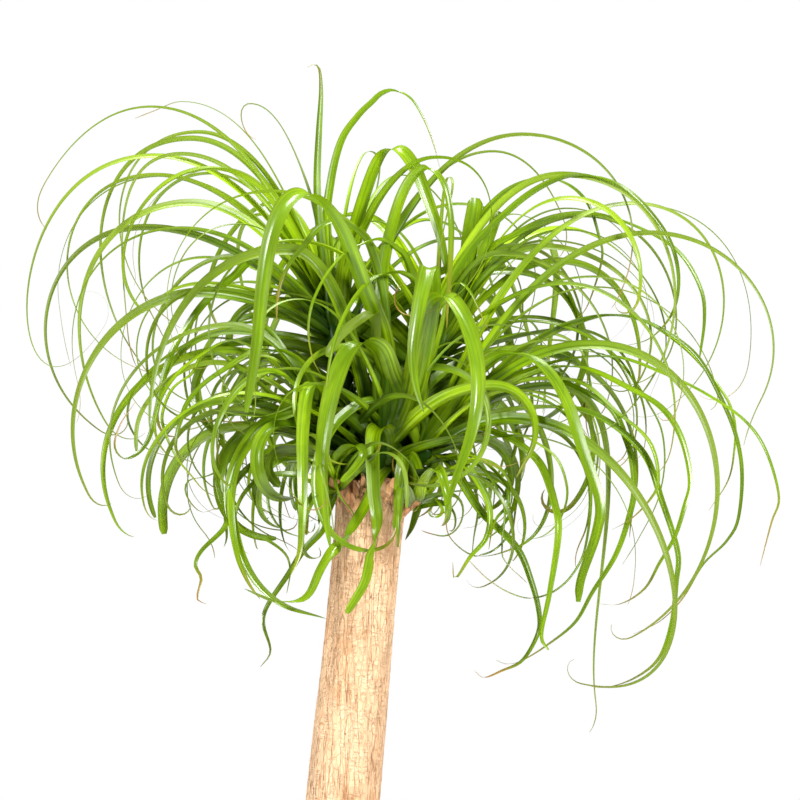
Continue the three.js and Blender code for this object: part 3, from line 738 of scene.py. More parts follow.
class Value:
    """A number or colour from a material's nodes. Sums and products of numbers add their Math nodes."""

    def __init__(self, finish, socket):
        self.finish = finish
        self.socket = socket

    def math(self, operation, *numbers):
        return self.finish.add("ShaderNodeMath", {"operation": operation}, dict(enumerate(numbers)))

    def __add__(self, other):
        return self.math("ADD", self, other)

    def __sub__(self, other):
        return self.math("SUBTRACT", self, other)

    def __rsub__(self, other):
        return self.math("SUBTRACT", other, self)

    def __mul__(self, other):
        return self.math("MULTIPLY", self, other)

    def __abs__(self):
        return self.math("ABSOLUTE", self)

    __radd__ = __add__
    __rmul__ = __mul__


class Finish:
    """One material, built from nodes."""

    def __init__(self, name):
        self.material = bpy.data.materials.new(name)
        self.material.use_nodes = True
        self.nodes = self.material.node_tree.nodes
        self.links = self.material.node_tree.links
        self.nodes.clear()

    def add(self, kind, settings=None, sockets=None, out=0):
        node = self.nodes.new(kind)
        for name, setting in (settings or {}).items():
            if name == "stops":
                self.set_stops(node.color_ramp, setting)
            else:
                setattr(node, name, setting)
        for name, value in (sockets or {}).items():
            if isinstance(value, Value):
                self.links.new(value.socket, node.inputs[name])
            else:
                node.inputs[name].default_value = value
        return Value(self, node.outputs[out])

    def set_stops(self, ramp, stops):
        while len(ramp.elements) < len(stops):
            ramp.elements.new(1)
        for element, (place, colour) in zip(ramp.elements, stops):
            element.position = place
            element.color = colour

    def mark(self, name):
        return self.add("ShaderNodeAttribute", {"attribute_name": name}, out="Fac")

    def place(self):
        """Where the point is in the plant, in metres."""
        return self.add("ShaderNodeTexCoord", out="Object")

    def height(self):
        return self.add("ShaderNodeSeparateXYZ", {}, {0: self.place()}, out="Z")

    def cells(self, *scales):
        """The point's place, counted in cells."""
        return self.add("ShaderNodeVectorMath", {"operation": "MULTIPLY"}, {0: self.place(), 1: scales})

    def point(self, x, y, z):
        return self.add("ShaderNodeCombineXYZ", {}, {0: x, 1: y, 2: z})

    def noise(self, where, detail=3.0, roughness=0.55, distortion=0.0):
        sockets = {"Vector": where, "Scale": 1.0, "Detail": detail, "Roughness": roughness}
        return self.add("ShaderNodeTexNoise", {}, {**sockets, "Distortion": distortion})

    def plates(self, where):
        """A number for each of many small plates that cover the surface, and how far its edge is."""
        sockets = {"Vector": where, "Scale": 1.0}
        number = self.add("ShaderNodeTexVoronoi", {}, sockets, out="Color")
        return number, self.add("ShaderNodeTexVoronoi", {"feature": "DISTANCE_TO_EDGE"}, sockets)

    def step(self, value, low, high):
        """0 at low and 1 at high, with a smooth step between them."""
        settings = {"interpolation_type": "SMOOTHSTEP"}
        return self.add("ShaderNodeMapRange", settings, {"Value": value, "From Min": low, "From Max": high})

    def ramp(self, value, *stops):
        return self.add("ShaderNodeValToRGB", {"stops": stops}, {0: value})

    def tint(self, share, colour, other):
        """A colour with a share of another. A Mix node has its two colours in sockets 6 and 7."""
        settings = {"data_type": "RGBA", "blend_type": "MIX"}
        return self.add("ShaderNodeMix", settings, {0: share, 6: colour, 7: other}, out=2)

    def bump(self, height, depth):
        """Relief whose height of 1 stands for a depth in millimetres."""
        return self.add("ShaderNodeBump", {}, {"Height": height, "Strength": 1.0, "Distance": depth * MM})

    def shader(self, **sockets):
        named = {name.replace("_", " "): value for name, value in sockets.items()}
        return self.add("ShaderNodeBsdfPrincipled", {}, named)

    def mixed(self, share, shader, other):
        return self.add("ShaderNodeMixShader", {}, {0: share, 1: shader, 2: other})

    def done(self, shader):
        node = self.nodes.new("ShaderNodeOutputMaterial")
        self.links.new(shader.socket, node.inputs["Surface"])
        return self.material


def leaf_colour(leaf, veins, stripes, clouds, deep_shade):
    """Green with painted shade inside the mop and at its leaves' very roots, limy near the root, olive
    outward, brown at a dry tip.
    """
    along, across, slim = leaf.mark("along"), leaf.mark("across"), leaf.mark("slim")
    tone, age = leaf.mark("tone"), leaf.mark("age")
    shade = tone * 0.5 + clouds * 0.6 + veins * 0.6 - age * 0.3 - along * 0.2 - 0.06
    green = leaf.ramp(shade, (0.15, LEAF_DARK), (0.5, LEAF_MID), (0.95, LEAF_LIGHT))
    green = leaf.tint(leaf.step(stripes, 0.5, 0.62) * 0.22, green, LEAF_STRIPE)
    outward = leaf.step(along, 0.12, 0.55) * (0.28 + slim * 0.5)
    green = leaf.tint(outward, green, LEAF_OLIVE)
    base = leaf.step(along, 0.36, 0.12) * (0.4 + tone * 0.6 - age * 0.35 - slim * 0.3)
    green = leaf.tint(base, green, LEAF_BASE)
    streaks = leaf.step(veins, 0.5, 0.36) * leaf.step(along, 0.5, 0.15) * 0.55
    # Painted shade at the leaves' roots, where they crowd into the crown, reaching further along older
    # leaves.
    root_shade = leaf.step(along, 0.06 + age * 0.36, 0.0) * 0.8
    green = leaf.tint(streaks + root_shade * (1 - streaks), green, LEAF_DARK)
    # A darker olive margin: partly the leaf's own edge colour, partly painted shade along its edges.
    green = leaf.tint(leaf.step(abs(across), 0.74, 1.0) * 0.55, green, LEAF_EDGE)
    # Painted shade deep inside the mop, where little open air reaches a point through the other leaves.
    green = leaf.tint(deep_shade * 0.82, green, LEAF_SHADE)
    dry = leaf.step(along + clouds * 0.2, 0.92, 1.08) * leaf.mark("dry")
    return leaf.tint(dry, green, LEAF_TIP)


def leaf_material():
    """A waxy leaf that lets some light through, and that is matt deep inside the mop, where painted shade
    darkens it.
    """
    leaf = Finish("waxy_leaf")
    along, across, breadth = leaf.mark("along"), leaf.mark("across"), leaf.mark("breadth")
    tone, slim = leaf.mark("tone"), leaf.mark("slim")
    veins = leaf.noise(leaf.point(breadth * 0.55, along * 1.5, tone * 60), detail=1.0)
    stripes = leaf.noise(leaf.point(breadth * 1.1, along * 0.8, tone * 40), detail=1.0)
    clouds = leaf.noise(leaf.point(across * 0.5, along * 8, tone * 90), detail=2.0)
    # Where painted shade falls deep inside the mop; the leaf is matt there too.
    deep_shade = leaf.step(leaf.mark("air"), 0.36, 0.06)
    green = leaf_colour(leaf, veins, stripes, clouds, deep_shade)
    relief = leaf.bump((veins + stripes * 0.4) * (1 - slim * 0.7), 0.15)
    gloss = 0.2 + veins * 0.12 + slim * leaf.step(along, 0.1, 0.5) * 0.2
    waxy = leaf.shader(Base_Color=green, Roughness=gloss, Specular_IOR_Level=0.38, Normal=relief)
    glow = leaf.add("ShaderNodeBsdfTranslucent", {}, {"Color": LEAF_GLOW})
    matt = leaf.shader(Base_Color=green, Roughness=0.6, Specular_IOR_Level=0.05, Normal=relief)
    return leaf.done(leaf.mixed(deep_shade * 0.85, leaf.mixed(0.17, waxy, glow), matt))


def bark_material():
    """Pale cork with long cracks between narrow plates, more checked and torn towards the top."""
    bark = Finish("corky_bark")
    depth, height = bark.mark("depth"), bark.height()
    patches = bark.noise(bark.cells(30, 30, 10), detail=4.0, roughness=0.6)
    fissures = bark.noise(bark.cells(165, 165, 10), detail=2.0, distortion=0.3)
    grain = bark.noise(bark.cells(800, 800, 110), detail=3.0, roughness=0.6)
    strands = bark.noise(bark.cells(330, 330, 40), detail=3.0, roughness=0.6, distortion=0.4)
    rungs = bark.noise(bark.cells(70, 70, 420), detail=2.0)
    specks = bark.noise(bark.cells(500, 500, 260), detail=2.0, roughness=0.7)
    plate, seam = bark.plates(bark.cells(210, 210, 90))

    shade = patches * 0.85 + plate * 0.15
    colour = bark.ramp(shade, (0.34, BARK_WARM), (0.48, BARK_TAN), (0.64, BARK_PALE))
    furrow = bark.step(abs(strands - 0.5), 0.03, 0.0) * bark.step(patches, 0.56, 0.44)
    fissure = bark.step(abs(fissures - 0.5), 0.022, 0.0)
    rung = bark.step(abs(rungs - 0.46), 0.035, 0.0) * bark.step(plate, 0.35, 0.6)
    checked = bark.step(height, 0.69, 0.77)
    broken = bark.step(strands + patches * 0.4, 0.62, 0.76)
    lines = bark.step(seam, 0.09, 0.0) * (broken * 0.55 + checked * 0.35)
    lines = lines + furrow * 0.5 + fissure * 0.9 + rung * 0.5
    colour = bark.tint(lines * bark.step(grain, 0.3, 0.55), colour, BARK_LINE)
    colour = bark.tint(bark.step(grain, 0.48, 0.34) * 0.35, colour, BARK_LINE)
    cracks = fissure * bark.step(strands, 0.5, 0.38) * 0.6
    dark = bark.step(specks, 0.34, 0.27) * 0.35 + cracks + depth * 0.24
    colour = bark.tint(dark, colour, BARK_CRACK)

    torn = bark.step(height + patches * 0.03, (SCARS_FROM + 8) * MM, (SCARS_FROM + 30) * MM)
    scar_shade = grain * 0.6 + strands * 0.5 - depth * 0.3
    scars = bark.ramp(scar_shade, (0.3, BARK_DARK), (0.5, BARK_SCAR), (0.75, BARK_TAN))
    colour = bark.tint(torn * 0.85, colour, scars)
    relief = bark.bump(grain * 0.35 + strands * 0.45 - lines * 0.6 + plate * 0.3, 1.5)
    return bark.done(bark.shader(Base_Color=colour, Roughness=0.78 + grain * 0.2, Normal=relief))


def scale_material():
    """Dry papery leaf bases, round the trunk's top and on the stems of the two small shoots."""
    scale = Finish("papery_leaf_base")
    fibres = scale.noise(scale.cells(300, 300, 60))
    shade = fibres * 0.7 + scale.mark("tone") * 0.4 - scale.mark("along") * 0.15
    colour = scale.ramp(shade, (0.2, BARK_DARK), (0.45, BARK_SCAR), (0.75, BARK_TAN))
    return scale.done(scale.shader(Base_Color=colour, Roughness=0.8, Normal=scale.bump(fibres, 0.6)))


def clay_material():
    """Unglazed clay, ringed by the wheel, with a pale bloom towards its foot and rim."""
    clay = Finish("terracotta")
    height = clay.height()
    clouds = clay.noise(clay.cells(18, 18, 26), detail=5.0, roughness=0.6)
    rings = clay.noise(clay.cells(2, 2, 420), detail=2.0)
    grit = clay.noise(clay.cells(900, 900, 900), detail=2.0)
    colour = clay.ramp(clouds, (0.35, CLAY_DULL), (0.65, CLAY_BRIGHT))
    rim = clay.step(height, (POT["height"] - 26) * MM, POT["height"] * MM)
    foot = clay.step(height, 34 * MM, 2 * MM)
    bloom = clay.step(clouds + rim * 0.1 + foot * 0.12, 0.56, 0.72)
    colour = clay.tint(bloom * 0.55, colour, CLAY_BLOOM)
    colour = clay.tint(clay.step(grit, 0.36, 0.3) * 0.35, colour, CLAY_DULL)
    relief = clay.bump(rings * 0.5 + grit * 0.3 + clouds * 0.4, 0.5)
    return clay.done(clay.shader(Base_Color=colour, Roughness=0.82 + grit * 0.12, Normal=relief))


def soil_material():
    soil = Finish("potting_mix")
    crumbs = soil.noise(soil.cells(420, 420, 420), detail=4.0, roughness=0.7)
    clods = soil.noise(soil.cells(90, 90, 90))
    colour = soil.ramp(crumbs * 0.6 + clods * 0.4, (0.36, SOIL_DARK), (0.62, SOIL_BROWN))
    relief = soil.bump(crumbs + clods * 0.6, 2.2)
    return soil.done(soil.shader(Base_Color=colour, Roughness=0.92, Normal=relief))


def chip_material():
    chip = Finish("bark_chips")
    fibres = chip.noise(chip.cells(700, 260, 260))
    shade = chip.mark("tone") * 0.8 + fibres * 0.3
    colour = chip.ramp(shade, (0.2, SOIL_BROWN), (0.7, CHIP_BROWN), (1.0, CHIP_PALE))
    return chip.done(chip.shader(Base_Color=colour, Roughness=0.85, Normal=chip.bump(fibres, 0.6)))


def floor_material():
    pale = Finish("pale_floor")
    specks = pale.noise(pale.cells(30, 30, 30), detail=2.0)
    colour = pale.tint(specks * 0.08, FLOOR_PALE, FLOOR_SPECK)
    return pale.done(pale.shader(Base_Color=colour, Roughness=0.75))


# Trunk


def trunk_centre(z):
    x = blend(TRUNK["foot_x"], TRUNK["top_x"], (z - SOIL["level"]) / (TRUNK["top"] - SOIL["level"]))
    return np.array([x, 0.0, z])


def trunk_radius(z):
    """The trunk's radius, on a smooth curve through its girth."""
    heights, radii = zip(*TRUNK_GIRTH)
    slopes = np.gradient(radii, heights)
    row = int(np.clip(np.searchsorted(heights, z) - 1, 0, len(heights) - 2))
    span = heights[row + 1] - heights[row]
    t = (z - heights[row]) / span
    first = radii[row] * (1 + 2 * t) * (1 - t) ** 2 + radii[row + 1] * t * t * (3 - 2 * t)
    return first + span * (slopes[row] * t * (1 - t) ** 2 - slopes[row + 1] * t * t * (1 - t))


def gash_at(x, y, z):
    """How deep a point is in the gash, from 0 to 1."""
    (gash_x, gash_z), (half_width, half_height) = BARK["gash"], BARK["gash_reach"]
    across = (x - gash_x - BARK["gash_lean"] * (z - gash_z)) / half_width
    up = (z - gash_z) / half_height
    return max(0.0, 1 - across**2 - up**2) if y < 0 else 0.0


def bark_relief(x, y, z):
    """How far the bark stands out at a point, and how deep in a crack it is."""
    split = BARK["more_split"] * smooth(*BARK["splits"], z)
    (long_low, long_high), (fine_low, fine_high) = BARK["long_crack"], BARK["fine_crack"]
    crack = smooth(long_low - split, long_high - split, lumps(x, y, z, BARK["long_cracks"]))
    fine = smooth(fine_low - split, fine_high - split, lumps(x, y, z, BARK["fine_cracks"]))
    crack = float(crack + BARK["fine_share"] * fine)
    out = BARK["plate_height"] * lumps(x, y, z, BARK["plates"])
    out += BARK["grit_height"] * lumps(x, y, z, BARK["grit"]) - BARK["crack_depth"] * crack
    torn = float(smooth(SCARS_FROM, SCARS_FROM + BARK["torn_rise"], z))
    out += torn * (BARK["torn_height"] * lumps(x, y, z, BARK["torn"]) - BARK["torn_depth"])
    gash = gash_at(x, y, z)
    mark = BARK["crack_mark"] * crack + BARK["gash_mark"] * gash
    return out - BARK["gash_depth"] * gash, min(BARK["most_mark"], mark)


def trunk_mesh():
    """The trunk, ring by ring from its foot in the soil, with a lumpy dome on its top."""
    bottom, top, sides = TRUNK_GIRTH[0][0], TRUNK["top"], TRUNK["sides"]
    heights = np.linspace(bottom, top, int((top - bottom) / TRUNK["ring_every"]))
    points, depths = [], []
    for z in heights:
        centre, radius = trunk_centre(z), trunk_radius(z)
        for turn in turns_round(sides):
            ridges = [high * math.sin(count * turn + TURN * z / rise) for high, count, rise in RIDGES]
            reach = radius + sum(ridges)
            out, depth = bark_relief(*(centre + around(turn) * reach))
            points.append(centre + around(turn) * (reach + out))
            depths.append(depth)
    middle, edges = trunk_centre(top), points[-sides:]
    for ring in range(1, TRUNK["dome_rings"]):
        share = 1 - ring / TRUNK["dome_rings"]
        for edge in edges:
            inner = blend(middle, edge, share)
            lump = lumps(inner[0], inner[1], 0, TRUNK["dome_lumps"])
            rise = TRUNK["dome"] * (1 - share**2) + TRUNK["dome_lump_height"] * lump * (1 - share**6)
            points.append(level(inner) + UP * (top + rise))
            depths.append(TRUNK["dome_depth"] + TRUNK["dome_lump_depth"] * lump)
    rows = len(heights) + TRUNK["dome_rings"] - 1
    points += [trunk_centre(bottom), middle + UP * TRUNK["dome"]]
    trunk = Build()
    trunk.add(points, capped_faces(rows, sides), depth=depths + [0.0, 0.0])
    return trunk


def strip(build, foot, ahead, side, length, width, curl, tone):
    """A torn papery leaf base: a short strip that curls away from what it stands on."""
    steps = COLLAR["steps"]
    out = unit(np.cross(side, ahead))
    points, marks = [], []
    for step in range(steps + 1):
        share = step / steps
        middle = foot + ahead * length * share + out * curl * share**2
        half = width / 2 * (1 - COLLAR["narrowed"] * share ** COLLAR["narrow_power"])
        for edge in (-1, 0, 1):
            points.append(middle + side * half * edge - out * COLLAR["folded"] * half * abs(edge))
            marks.append(share)
    build.add(points, grid_faces(steps + 1, 3), along=marks, tone=tone)


def collar_mesh():
    """Torn leaf bases in rings round the top of the trunk."""
    collar = Build()
    draw = draws_from(COLLAR["seed"])
    for row, (z, count) in enumerate(COLLAR["rings"]):
        for i in range(count):
            out = around((i + 0.5 * row + COLLAR["scatter"] * draw()) / count * TURN)
            side = np.cross(UP, out)
            height = z + COLLAR["height_scatter"] * (draw() - 0.5)
            foot = trunk_centre(height) + out * (trunk_radius(height) - COLLAR["sunk"])
            leaning = out * blend(*COLLAR["lean"], draw())
            ahead = unit(UP + leaning + side * COLLAR["aside"] * (draw() - 0.5))
            length, width = blend(*COLLAR["length"], draw()), blend(*COLLAR["width"], draw())
            strip(collar, foot, ahead, side, length, width, blend(*COLLAR["curl"], draw()), draw())
    return collar


# Stems, and how the leaves arch


def on_curve(handles, t):
    """The place at a share t of a curve that three or four handles pull."""
    last = len(handles) - 1
    return sum(math.comb(last, i) * (1 - t) ** (last - i) * t**i * at for i, at in enumerate(handles))


def bezier(handles, count):
    return on_curve(handles, np.linspace(0, 1, count + 1)[:, None])


def reached(points):
    """How far along a line of points each of them is."""
    steps = np.linalg.norm(np.diff(points, axis=0), axis=1)
    return np.concatenate([[0.0], np.cumsum(steps)])


def resampled(points, count):
    """Evenly spaced points along a line of points."""
    passed = reached(points)
    wanted = np.linspace(0, passed[-1], count + 1)
    return np.stack([np.interp(wanted, passed, points[:, axis]) for axis in range(3)], axis=1)


def stem_handles(head):
    bearing, height = head["foot"]
    out = compass(bearing) * STEM["spread"]
    foot = trunk_centre(height) + out
    crown = np.array(head["crown"], float)
    bend = foot + UP * STEM["bend"] * (crown[2] - foot[2]) + out * STEM["bow"]
    return foot, bend, crown


def root_of(head, age):
    handles = stem_handles(head)
    length = reached(bezier(handles, STEM["measured_points"]))[-1]
    return on_curve(handles, 1 - age * head["depth"] / length)


def grown_leaf(head, index, draw):
    """A leaf that grows by the rule: its arch follows from its age, its compass point and a few draws."""
    age = (index + 0.5) / head["count"]
    tilt, tilt_bearing = head["tilt"]
    axis = UP * math.cos(math.radians(tilt)) + compass(tilt_bearing) * math.sin(math.radians(tilt))
    usual = blend(GROWTH["young_lean"], GROWTH["old_lean"], age ** GROWTH["lean_by_age"])
    opening = math.radians(usual + GROWTH["lean_scatter"] * (draw() - 0.5))
    bearing = compass(index * GROWTH["turn"] + GROWTH["turn_scatter"] * (draw() - 0.5))
    start = axis * math.cos(opening) + square_to(axis, bearing) * math.sin(opening)
    lean = min(math.acos(start[2]), math.radians(GROWTH["most_lean"]))
    outward = unit(level(start))

    length = head["length"] * blend(GROWTH["young_length"], 1, age)
    length *= blend(*GROWTH["length_scatter"], draw())
    hang = blend(*GROWTH["hang"], draw())
    drop = math.radians(hang - 90)
    tip_bend = GROWTH["curved"] * length / (GROWTH["root_bend"] * (math.pi / 2 - lean) + drop)
    root_bend = GROWTH["root_bend"] * tip_bend
    straight = GROWTH["straight"] * length
    root = root_of(head, age)
    crest = root + outward * (straight * math.sin(lean) + root_bend * math.cos(lean))
    crest = crest + UP * (straight * math.cos(lean) + root_bend * (1 - math.sin(lean)))
    fall = outward * tip_bend * math.sin(drop) + UP * tip_bend * (math.cos(drop) - 1)
    fall = fall + np.cross(UP, outward) * GROWTH["drift"] * length * (draw() - 0.5)
    lowest = blend(head["lowest"], crest[2], GROWTH["lifted"] * draw())
    tip = crest + fall * min(1, (crest[2] - lowest) / -fall[2])

    width = blend(*GROWTH["width"], draw()) * blend(GROWTH["young_width"], 1, age)
    kept = blend(*GROWTH["trimmed_to"], draw()) if draw() < GROWTH["trimmed"] else 1
    places = {"root": root, "crest": crest, "tip": tip}
    return {**places, "named": False, "hang": hang, "full": 1, "width": width, "kept": kept, "age": age}


def named_leaf(head, number):
    """A leaf of the silhouette, from its line in the list of arches."""
    width, crest, tip, hang, full, kept = (head["arches"][number] + (1, 1))[:6]
    age = (number + 0.5) / head["outer"]
    places = {"root": root_of(head, age), "crest": np.array(crest, float), "tip": np.array(tip, float)}
    return {**places, "named": True, "hang": hang, "full": full, "width": width, "kept": kept, "age": age}


def outward_of(leaf):
    return unit(level(leaf["crest"] - leaf["root"]))


def sideways_of(leaf):
    return np.cross(UP, outward_of(leaf))


def grows_over_front(leaf, head):
    return -outward_of(leaf)[1] > math.cos(math.radians(head["front_gap"]))


def arch_points(leaf, count):
    """An arch rises from the root to its crest, where it is level, and curls over to its tip."""
    root, crest, tip = leaf["root"], leaf["crest"], leaf["tip"]
    outward = outward_of(leaf)
    lying = np.linalg.norm(level(crest - root)) / np.linalg.norm(crest - root)
    shoulder = blend(root, crest, LEAF["upright"] + LEAF["leaning"] * lying)
    shoulder[2] = crest[2]
    turn = math.radians(leaf["hang"])
    heading = outward * math.sin(turn) + UP * math.cos(turn)
    span = np.linalg.norm(tip - crest)
    pull = leaf["full"] * span * min(1, 1 / (3 * math.cos((turn - math.pi / 2) / 4) ** 2))
    rise = bezier((root, shoulder, crest), count)
    fall = bezier((crest, crest + outward * pull, tip - heading * pull, tip), count)
    return np.concatenate([rise, fall[1:]])


def facing_roll(leaf):
    """The roll that turns the hanging part of a leaf to the front."""
    points = arch_points(leaf, LEAF["drawn_points"])
    halfway_down = int(1.5 * LEAF["drawn_points"])
    ahead = unit(points[halfway_down + 1] - points[halfway_down - 1])
    flat = square_to(ahead, sideways_of(leaf))
    face = np.cross(ahead, flat)
    roll = math.atan2(-flat[1], face[1]) if face[1] > 0 else math.atan2(flat[1], -face[1])
    most = math.radians(LEAF["roll"][1])
    return clamp(-most, most, roll)


def leaves_of(head):
    """The arches of a head. A leaf of the silhouette that is led another way takes its draws as well."""
    draw = draws_from(head["seed"])
    leaves = [named_leaf(head, i) if i in head["arches"] else None for i in range(head["outer"])]
    leaves += [grown_leaf(head, i, draw) for i in range(head["count"])]
    for leaf in leaves:
        side = -1 if draw() < 0.5 else 1
        rolled, twisted = draw(), draw() - 0.5
        if leaf is None:
            continue
        toward = leaf["crest"] - leaf["root"]
        across = abs(toward[0]) / np.linalg.norm(toward)
        leaf["roll"] = math.radians(side * blend(*LEAF["roll"], rolled) * across)
        if leaf["named"]:
            leaf["roll"] = facing_roll(leaf)
        slim = (LEAF["stiff_width"] - leaf["width"]) / (LEAF["stiff_width"] - LEAF["supple_width"])
        leaf["twist"] = math.radians(2 * LEAF["twist"] * clamp(0, 1, slim) * twisted)
    return [leaf for leaf in leaves if leaf and (leaf["named"] or not grows_over_front(leaf, head))]


def wisps_of(head):
    """The thin leaves of a head, which grow by the same rule."""
    draw = draws_from(head["seed"] + SEEDS["wisps"])
    count = round(head["count"] * WISPS["share"])
    slim = {**head, "count": count, "length": head["length"] * WISPS["longer"]}
    wisps = [grown_leaf(slim, i, draw) for i in range(count)]
    wisps = [wisp for wisp in wisps if not grows_over_front(wisp, head)]
    for wisp in wisps:
        wisp["width"] *= WISPS["width"]
        wisp["kept"] = 1
        wisp["roll"] = WISPS["roll"] * (draw() - 0.5)
        wisp["twist"] = WISPS["twist"] * (draw() - 0.5)
    return wisps


def drawn_width(leaf, along):
    """A leaf's width at a share of its length: a slim one narrows from its root on, a broad one later."""
    (slim, slim_power), (broad, broad_power) = LEAF["slim"], LEAF["broad"]
    power = blend(slim_power, broad_power, clamp(0, 1, (leaf["width"] - slim) / (broad - slim)))
    opening = blend(LEAF["root_width"], 1, np.minimum(1, along / LEAF["widened"]))
    return leaf["width"] * opening * (1 - (along * leaf["kept"]) ** power) ** LEAF["taper"]


def end_corner(leaf):
    """Where the drawn leaf ends: its tip, or one corner of its cut end."""
    if leaf["kept"] == 1:
        return leaf["tip"]
    points = arch_points(leaf, LEAF["drawn_points"])
    ahead = unit(points[-1] - points[-2])
    flat = square_to(ahead, sideways_of(leaf))
    roll = leaf["roll"] + leaf["twist"]
    side = flat * math.cos(roll) + np.cross(ahead, flat) * math.sin(roll)
    return leaf["tip"] + side * max(drawn_width(leaf, 1) / 2, LEAF["thinnest"])


def swung(leaf, degrees):
    """The same leaf swung by an angle about the upright line through its root."""
    turn = spin(math.radians(degrees))
    places = {end: leaf["root"] + turn @ (leaf[end] - leaf["root"]) for end in ("crest", "tip")}
    return {**leaf, **places}


def as_drawn(leaf, tree):
    """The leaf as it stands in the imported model, where it may have been swung clear of the others."""
    for attempt in range(SWING["most"] + 1):
        steps = (attempt + 1) // 2 if attempt % 2 else -attempt // 2
        tried = swung(leaf, steps * SWING["step"])
        if tree.find(Vector(end_corner(tried) * MM))[2] < SWING["found"] * MM:
            return tried
    return leaf


def corners_of(node):
    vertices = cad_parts[node].data.vertices
    tree = KDTree(len(vertices))
    for i, vertex in enumerate(vertices):
        tree.insert(vertex.co, i)
    tree.balance()
    return tree


# Leaves


def sheet_width(leaf, along, slender):
    """The width of a leaf's sheet: a broad one flares near its root, a slender one thins further out."""
    width = drawn_width(leaf, along) * (1 - SHEET["slimmer"] * slender)
    width = width * (1 + SHEET["flare"] * (1 - slender) * (1 - smooth(*SHEET["flare_ends"], along)))
    thinned = SHEET["thinned"] * slender * leaf["kept"] ** SHEET["spared"]
    width = width * (1 - thinned * smooth(*SHEET["thins"], along))
    if leaf["kept"] < 1:
        width = width * np.sqrt(1 - SHEET["cut_rounded"] * smooth(*SHEET["cut_end"], along))
    return np.maximum(width, SHEET["finest"] * blend(1, SHEET["finest_tip"], smooth(*SHEET["tip"], along)))


def gutter_depth(along, draw):
    """The depth of the channel along a leaf, to half its width."""
    at_root, past_root, at_tip = SHEET["gutter"]
    ends = SHEET["gutter_ends"]
    depth = blend(at_root, past_root, smooth(0, ends, along))
    depth = depth + (at_tip - past_root) * smooth(ends, 1, along)
    scattered = blend(*SHEET["gutter_scatter"], draw())
    return depth * blend(1, scattered, smooth(*SHEET["gutter_scattered"], along))


def slenderness(leaf):
    """1 for a slim leaf, whose outer part is very thin, and 0 for a broad one or one that is led."""
    if "led" in leaf:
        return 0.0
    widths = SHEET["slender"] if leaf["named"] else SHEET["slender_inside"]
    return 1 - float(smooth(*widths, leaf["width"]))


def add_sheet(build, points, sideways, leaf, draw):
    """The fine sheet of a leaf: a channelled strap that flattens outward, wavers a little and tapers."""
    count = int(np.clip(reached(points)[-1] / SHEET["segment"], SHEET["fewest"], SHEET["most"]))
    middle = resampled(points, count)
    along = np.linspace(0, 1, count + 1)
    ahead = units(np.gradient(middle, axis=0))
    flat = units(sideways - ahead * (ahead @ sideways)[:, None])
    face = np.cross(ahead, flat)
    beat, phase, sway = blend(*SHEET["beat"], draw()), draw() * TURN, blend(-1, 1, draw())
    waver = sway * np.sin(TURN * beat * along + phase) * smooth(*SHEET["wavers"], along)
    roll = leaf["roll"] + leaf["twist"] * along + math.radians(SHEET["sway"]) * waver
    if "turns_over" in leaf:
        roll = roll + math.pi * smooth(*leaf["turns_over"], along)
    side = flat * np.cos(roll)[:, None] + face * np.sin(roll)[:, None]
    top = face * np.cos(roll)[:, None] - flat * np.sin(roll)[:, None]
    middle = middle + side * (SHEET["wave"] * waver * (1 - smooth(*SHEET["wave_ends"], along)))[:, None]

    slender = slenderness(leaf)
    half = sheet_width(leaf, along, slender) / 2
    across = np.array(SHEET["across"])
    from_middle = np.abs(across)
    dip = from_middle ** SHEET["gutter_power"] - 1
    dip = dip - SHEET["drooping_edge"] * smooth(*SHEET["edge"], from_middle)
    breadth = half[:, None] * across
    sunk = (half * gutter_depth(along, draw))[:, None] * dip
    rows = middle[:, None] + side[:, None] * breadth[..., None] + top[:, None] * sunk[..., None]
    marks = {
        "along": np.repeat(along, len(across)),
        "across": np.tile(across, count + 1),
        "breadth": breadth.ravel(),
        "tone": leaf.get("tone", blend(*SHEET["tone"], draw())),
        "age": leaf["age"],
        "slim": slender,
        "dry": draw() * smooth(*SHEET["dry_tip"], leaf["width"]) if leaf["kept"] == 1 else 0.0,
    }
    build.add(rows, grid_faces(count + 1, len(across)), **marks)


def curled(points, leaf, draw):
    """The line of a leaf with the curl of its tip."""
    share, bend, aside = blend(*CURL["length"], draw()), blend(*CURL["bend"], draw()), draw() - 0.5
    if leaf["kept"] < 1 or leaf["width"] > CURL["widest"]:
        return points
    step = share * reached(points)[-1] / CURL["points"]
    ahead = unit(points[-1] - points[-3])
    axis = square_to(ahead, sideways_of(leaf))
    inward = np.cross(axis, ahead)
    line = [points[-1]]
    for part in np.arange(1, CURL["points"] + 1) / CURL["points"]:
        turn = math.radians(bend) * part ** CURL["power"]
        heading = ahead * math.cos(turn) + inward * math.sin(turn) + axis * CURL["aside"] * aside * part
        line.append(line[-1] + unit(heading) * step)
    return np.concatenate([points, line[1:]])


def add_arch(build, leaf, draw):
    """A leaf that arches over, as in the drawing, and curls at its tip."""
    points = curled(arch_points(leaf, SHEET["points"]), leaf, draw)
    add_sheet(build, points, sideways_of(leaf), leaf, draw)


def through(points, count):
    """A smooth line through points, with as many steps between each two."""
    points = np.asarray(points, float)
    ends = np.concatenate([[2 * points[0] - points[1]], points, [2 * points[-1] - points[-2]]])
    t = np.linspace(0, 1, count + 1)[:-1, None]
    spans = []
    for a, b, c, d in zip(ends, ends[1:], ends[2:], ends[3:]):
        pulled = (c - a) * t + (2 * a - 5 * b + 4 * c - d) * t**2 + (3 * b - a - 3 * c + d) * t**3
        spans.append(b + pulled / 2)
    return np.concatenate([*spans, points[-1:]])


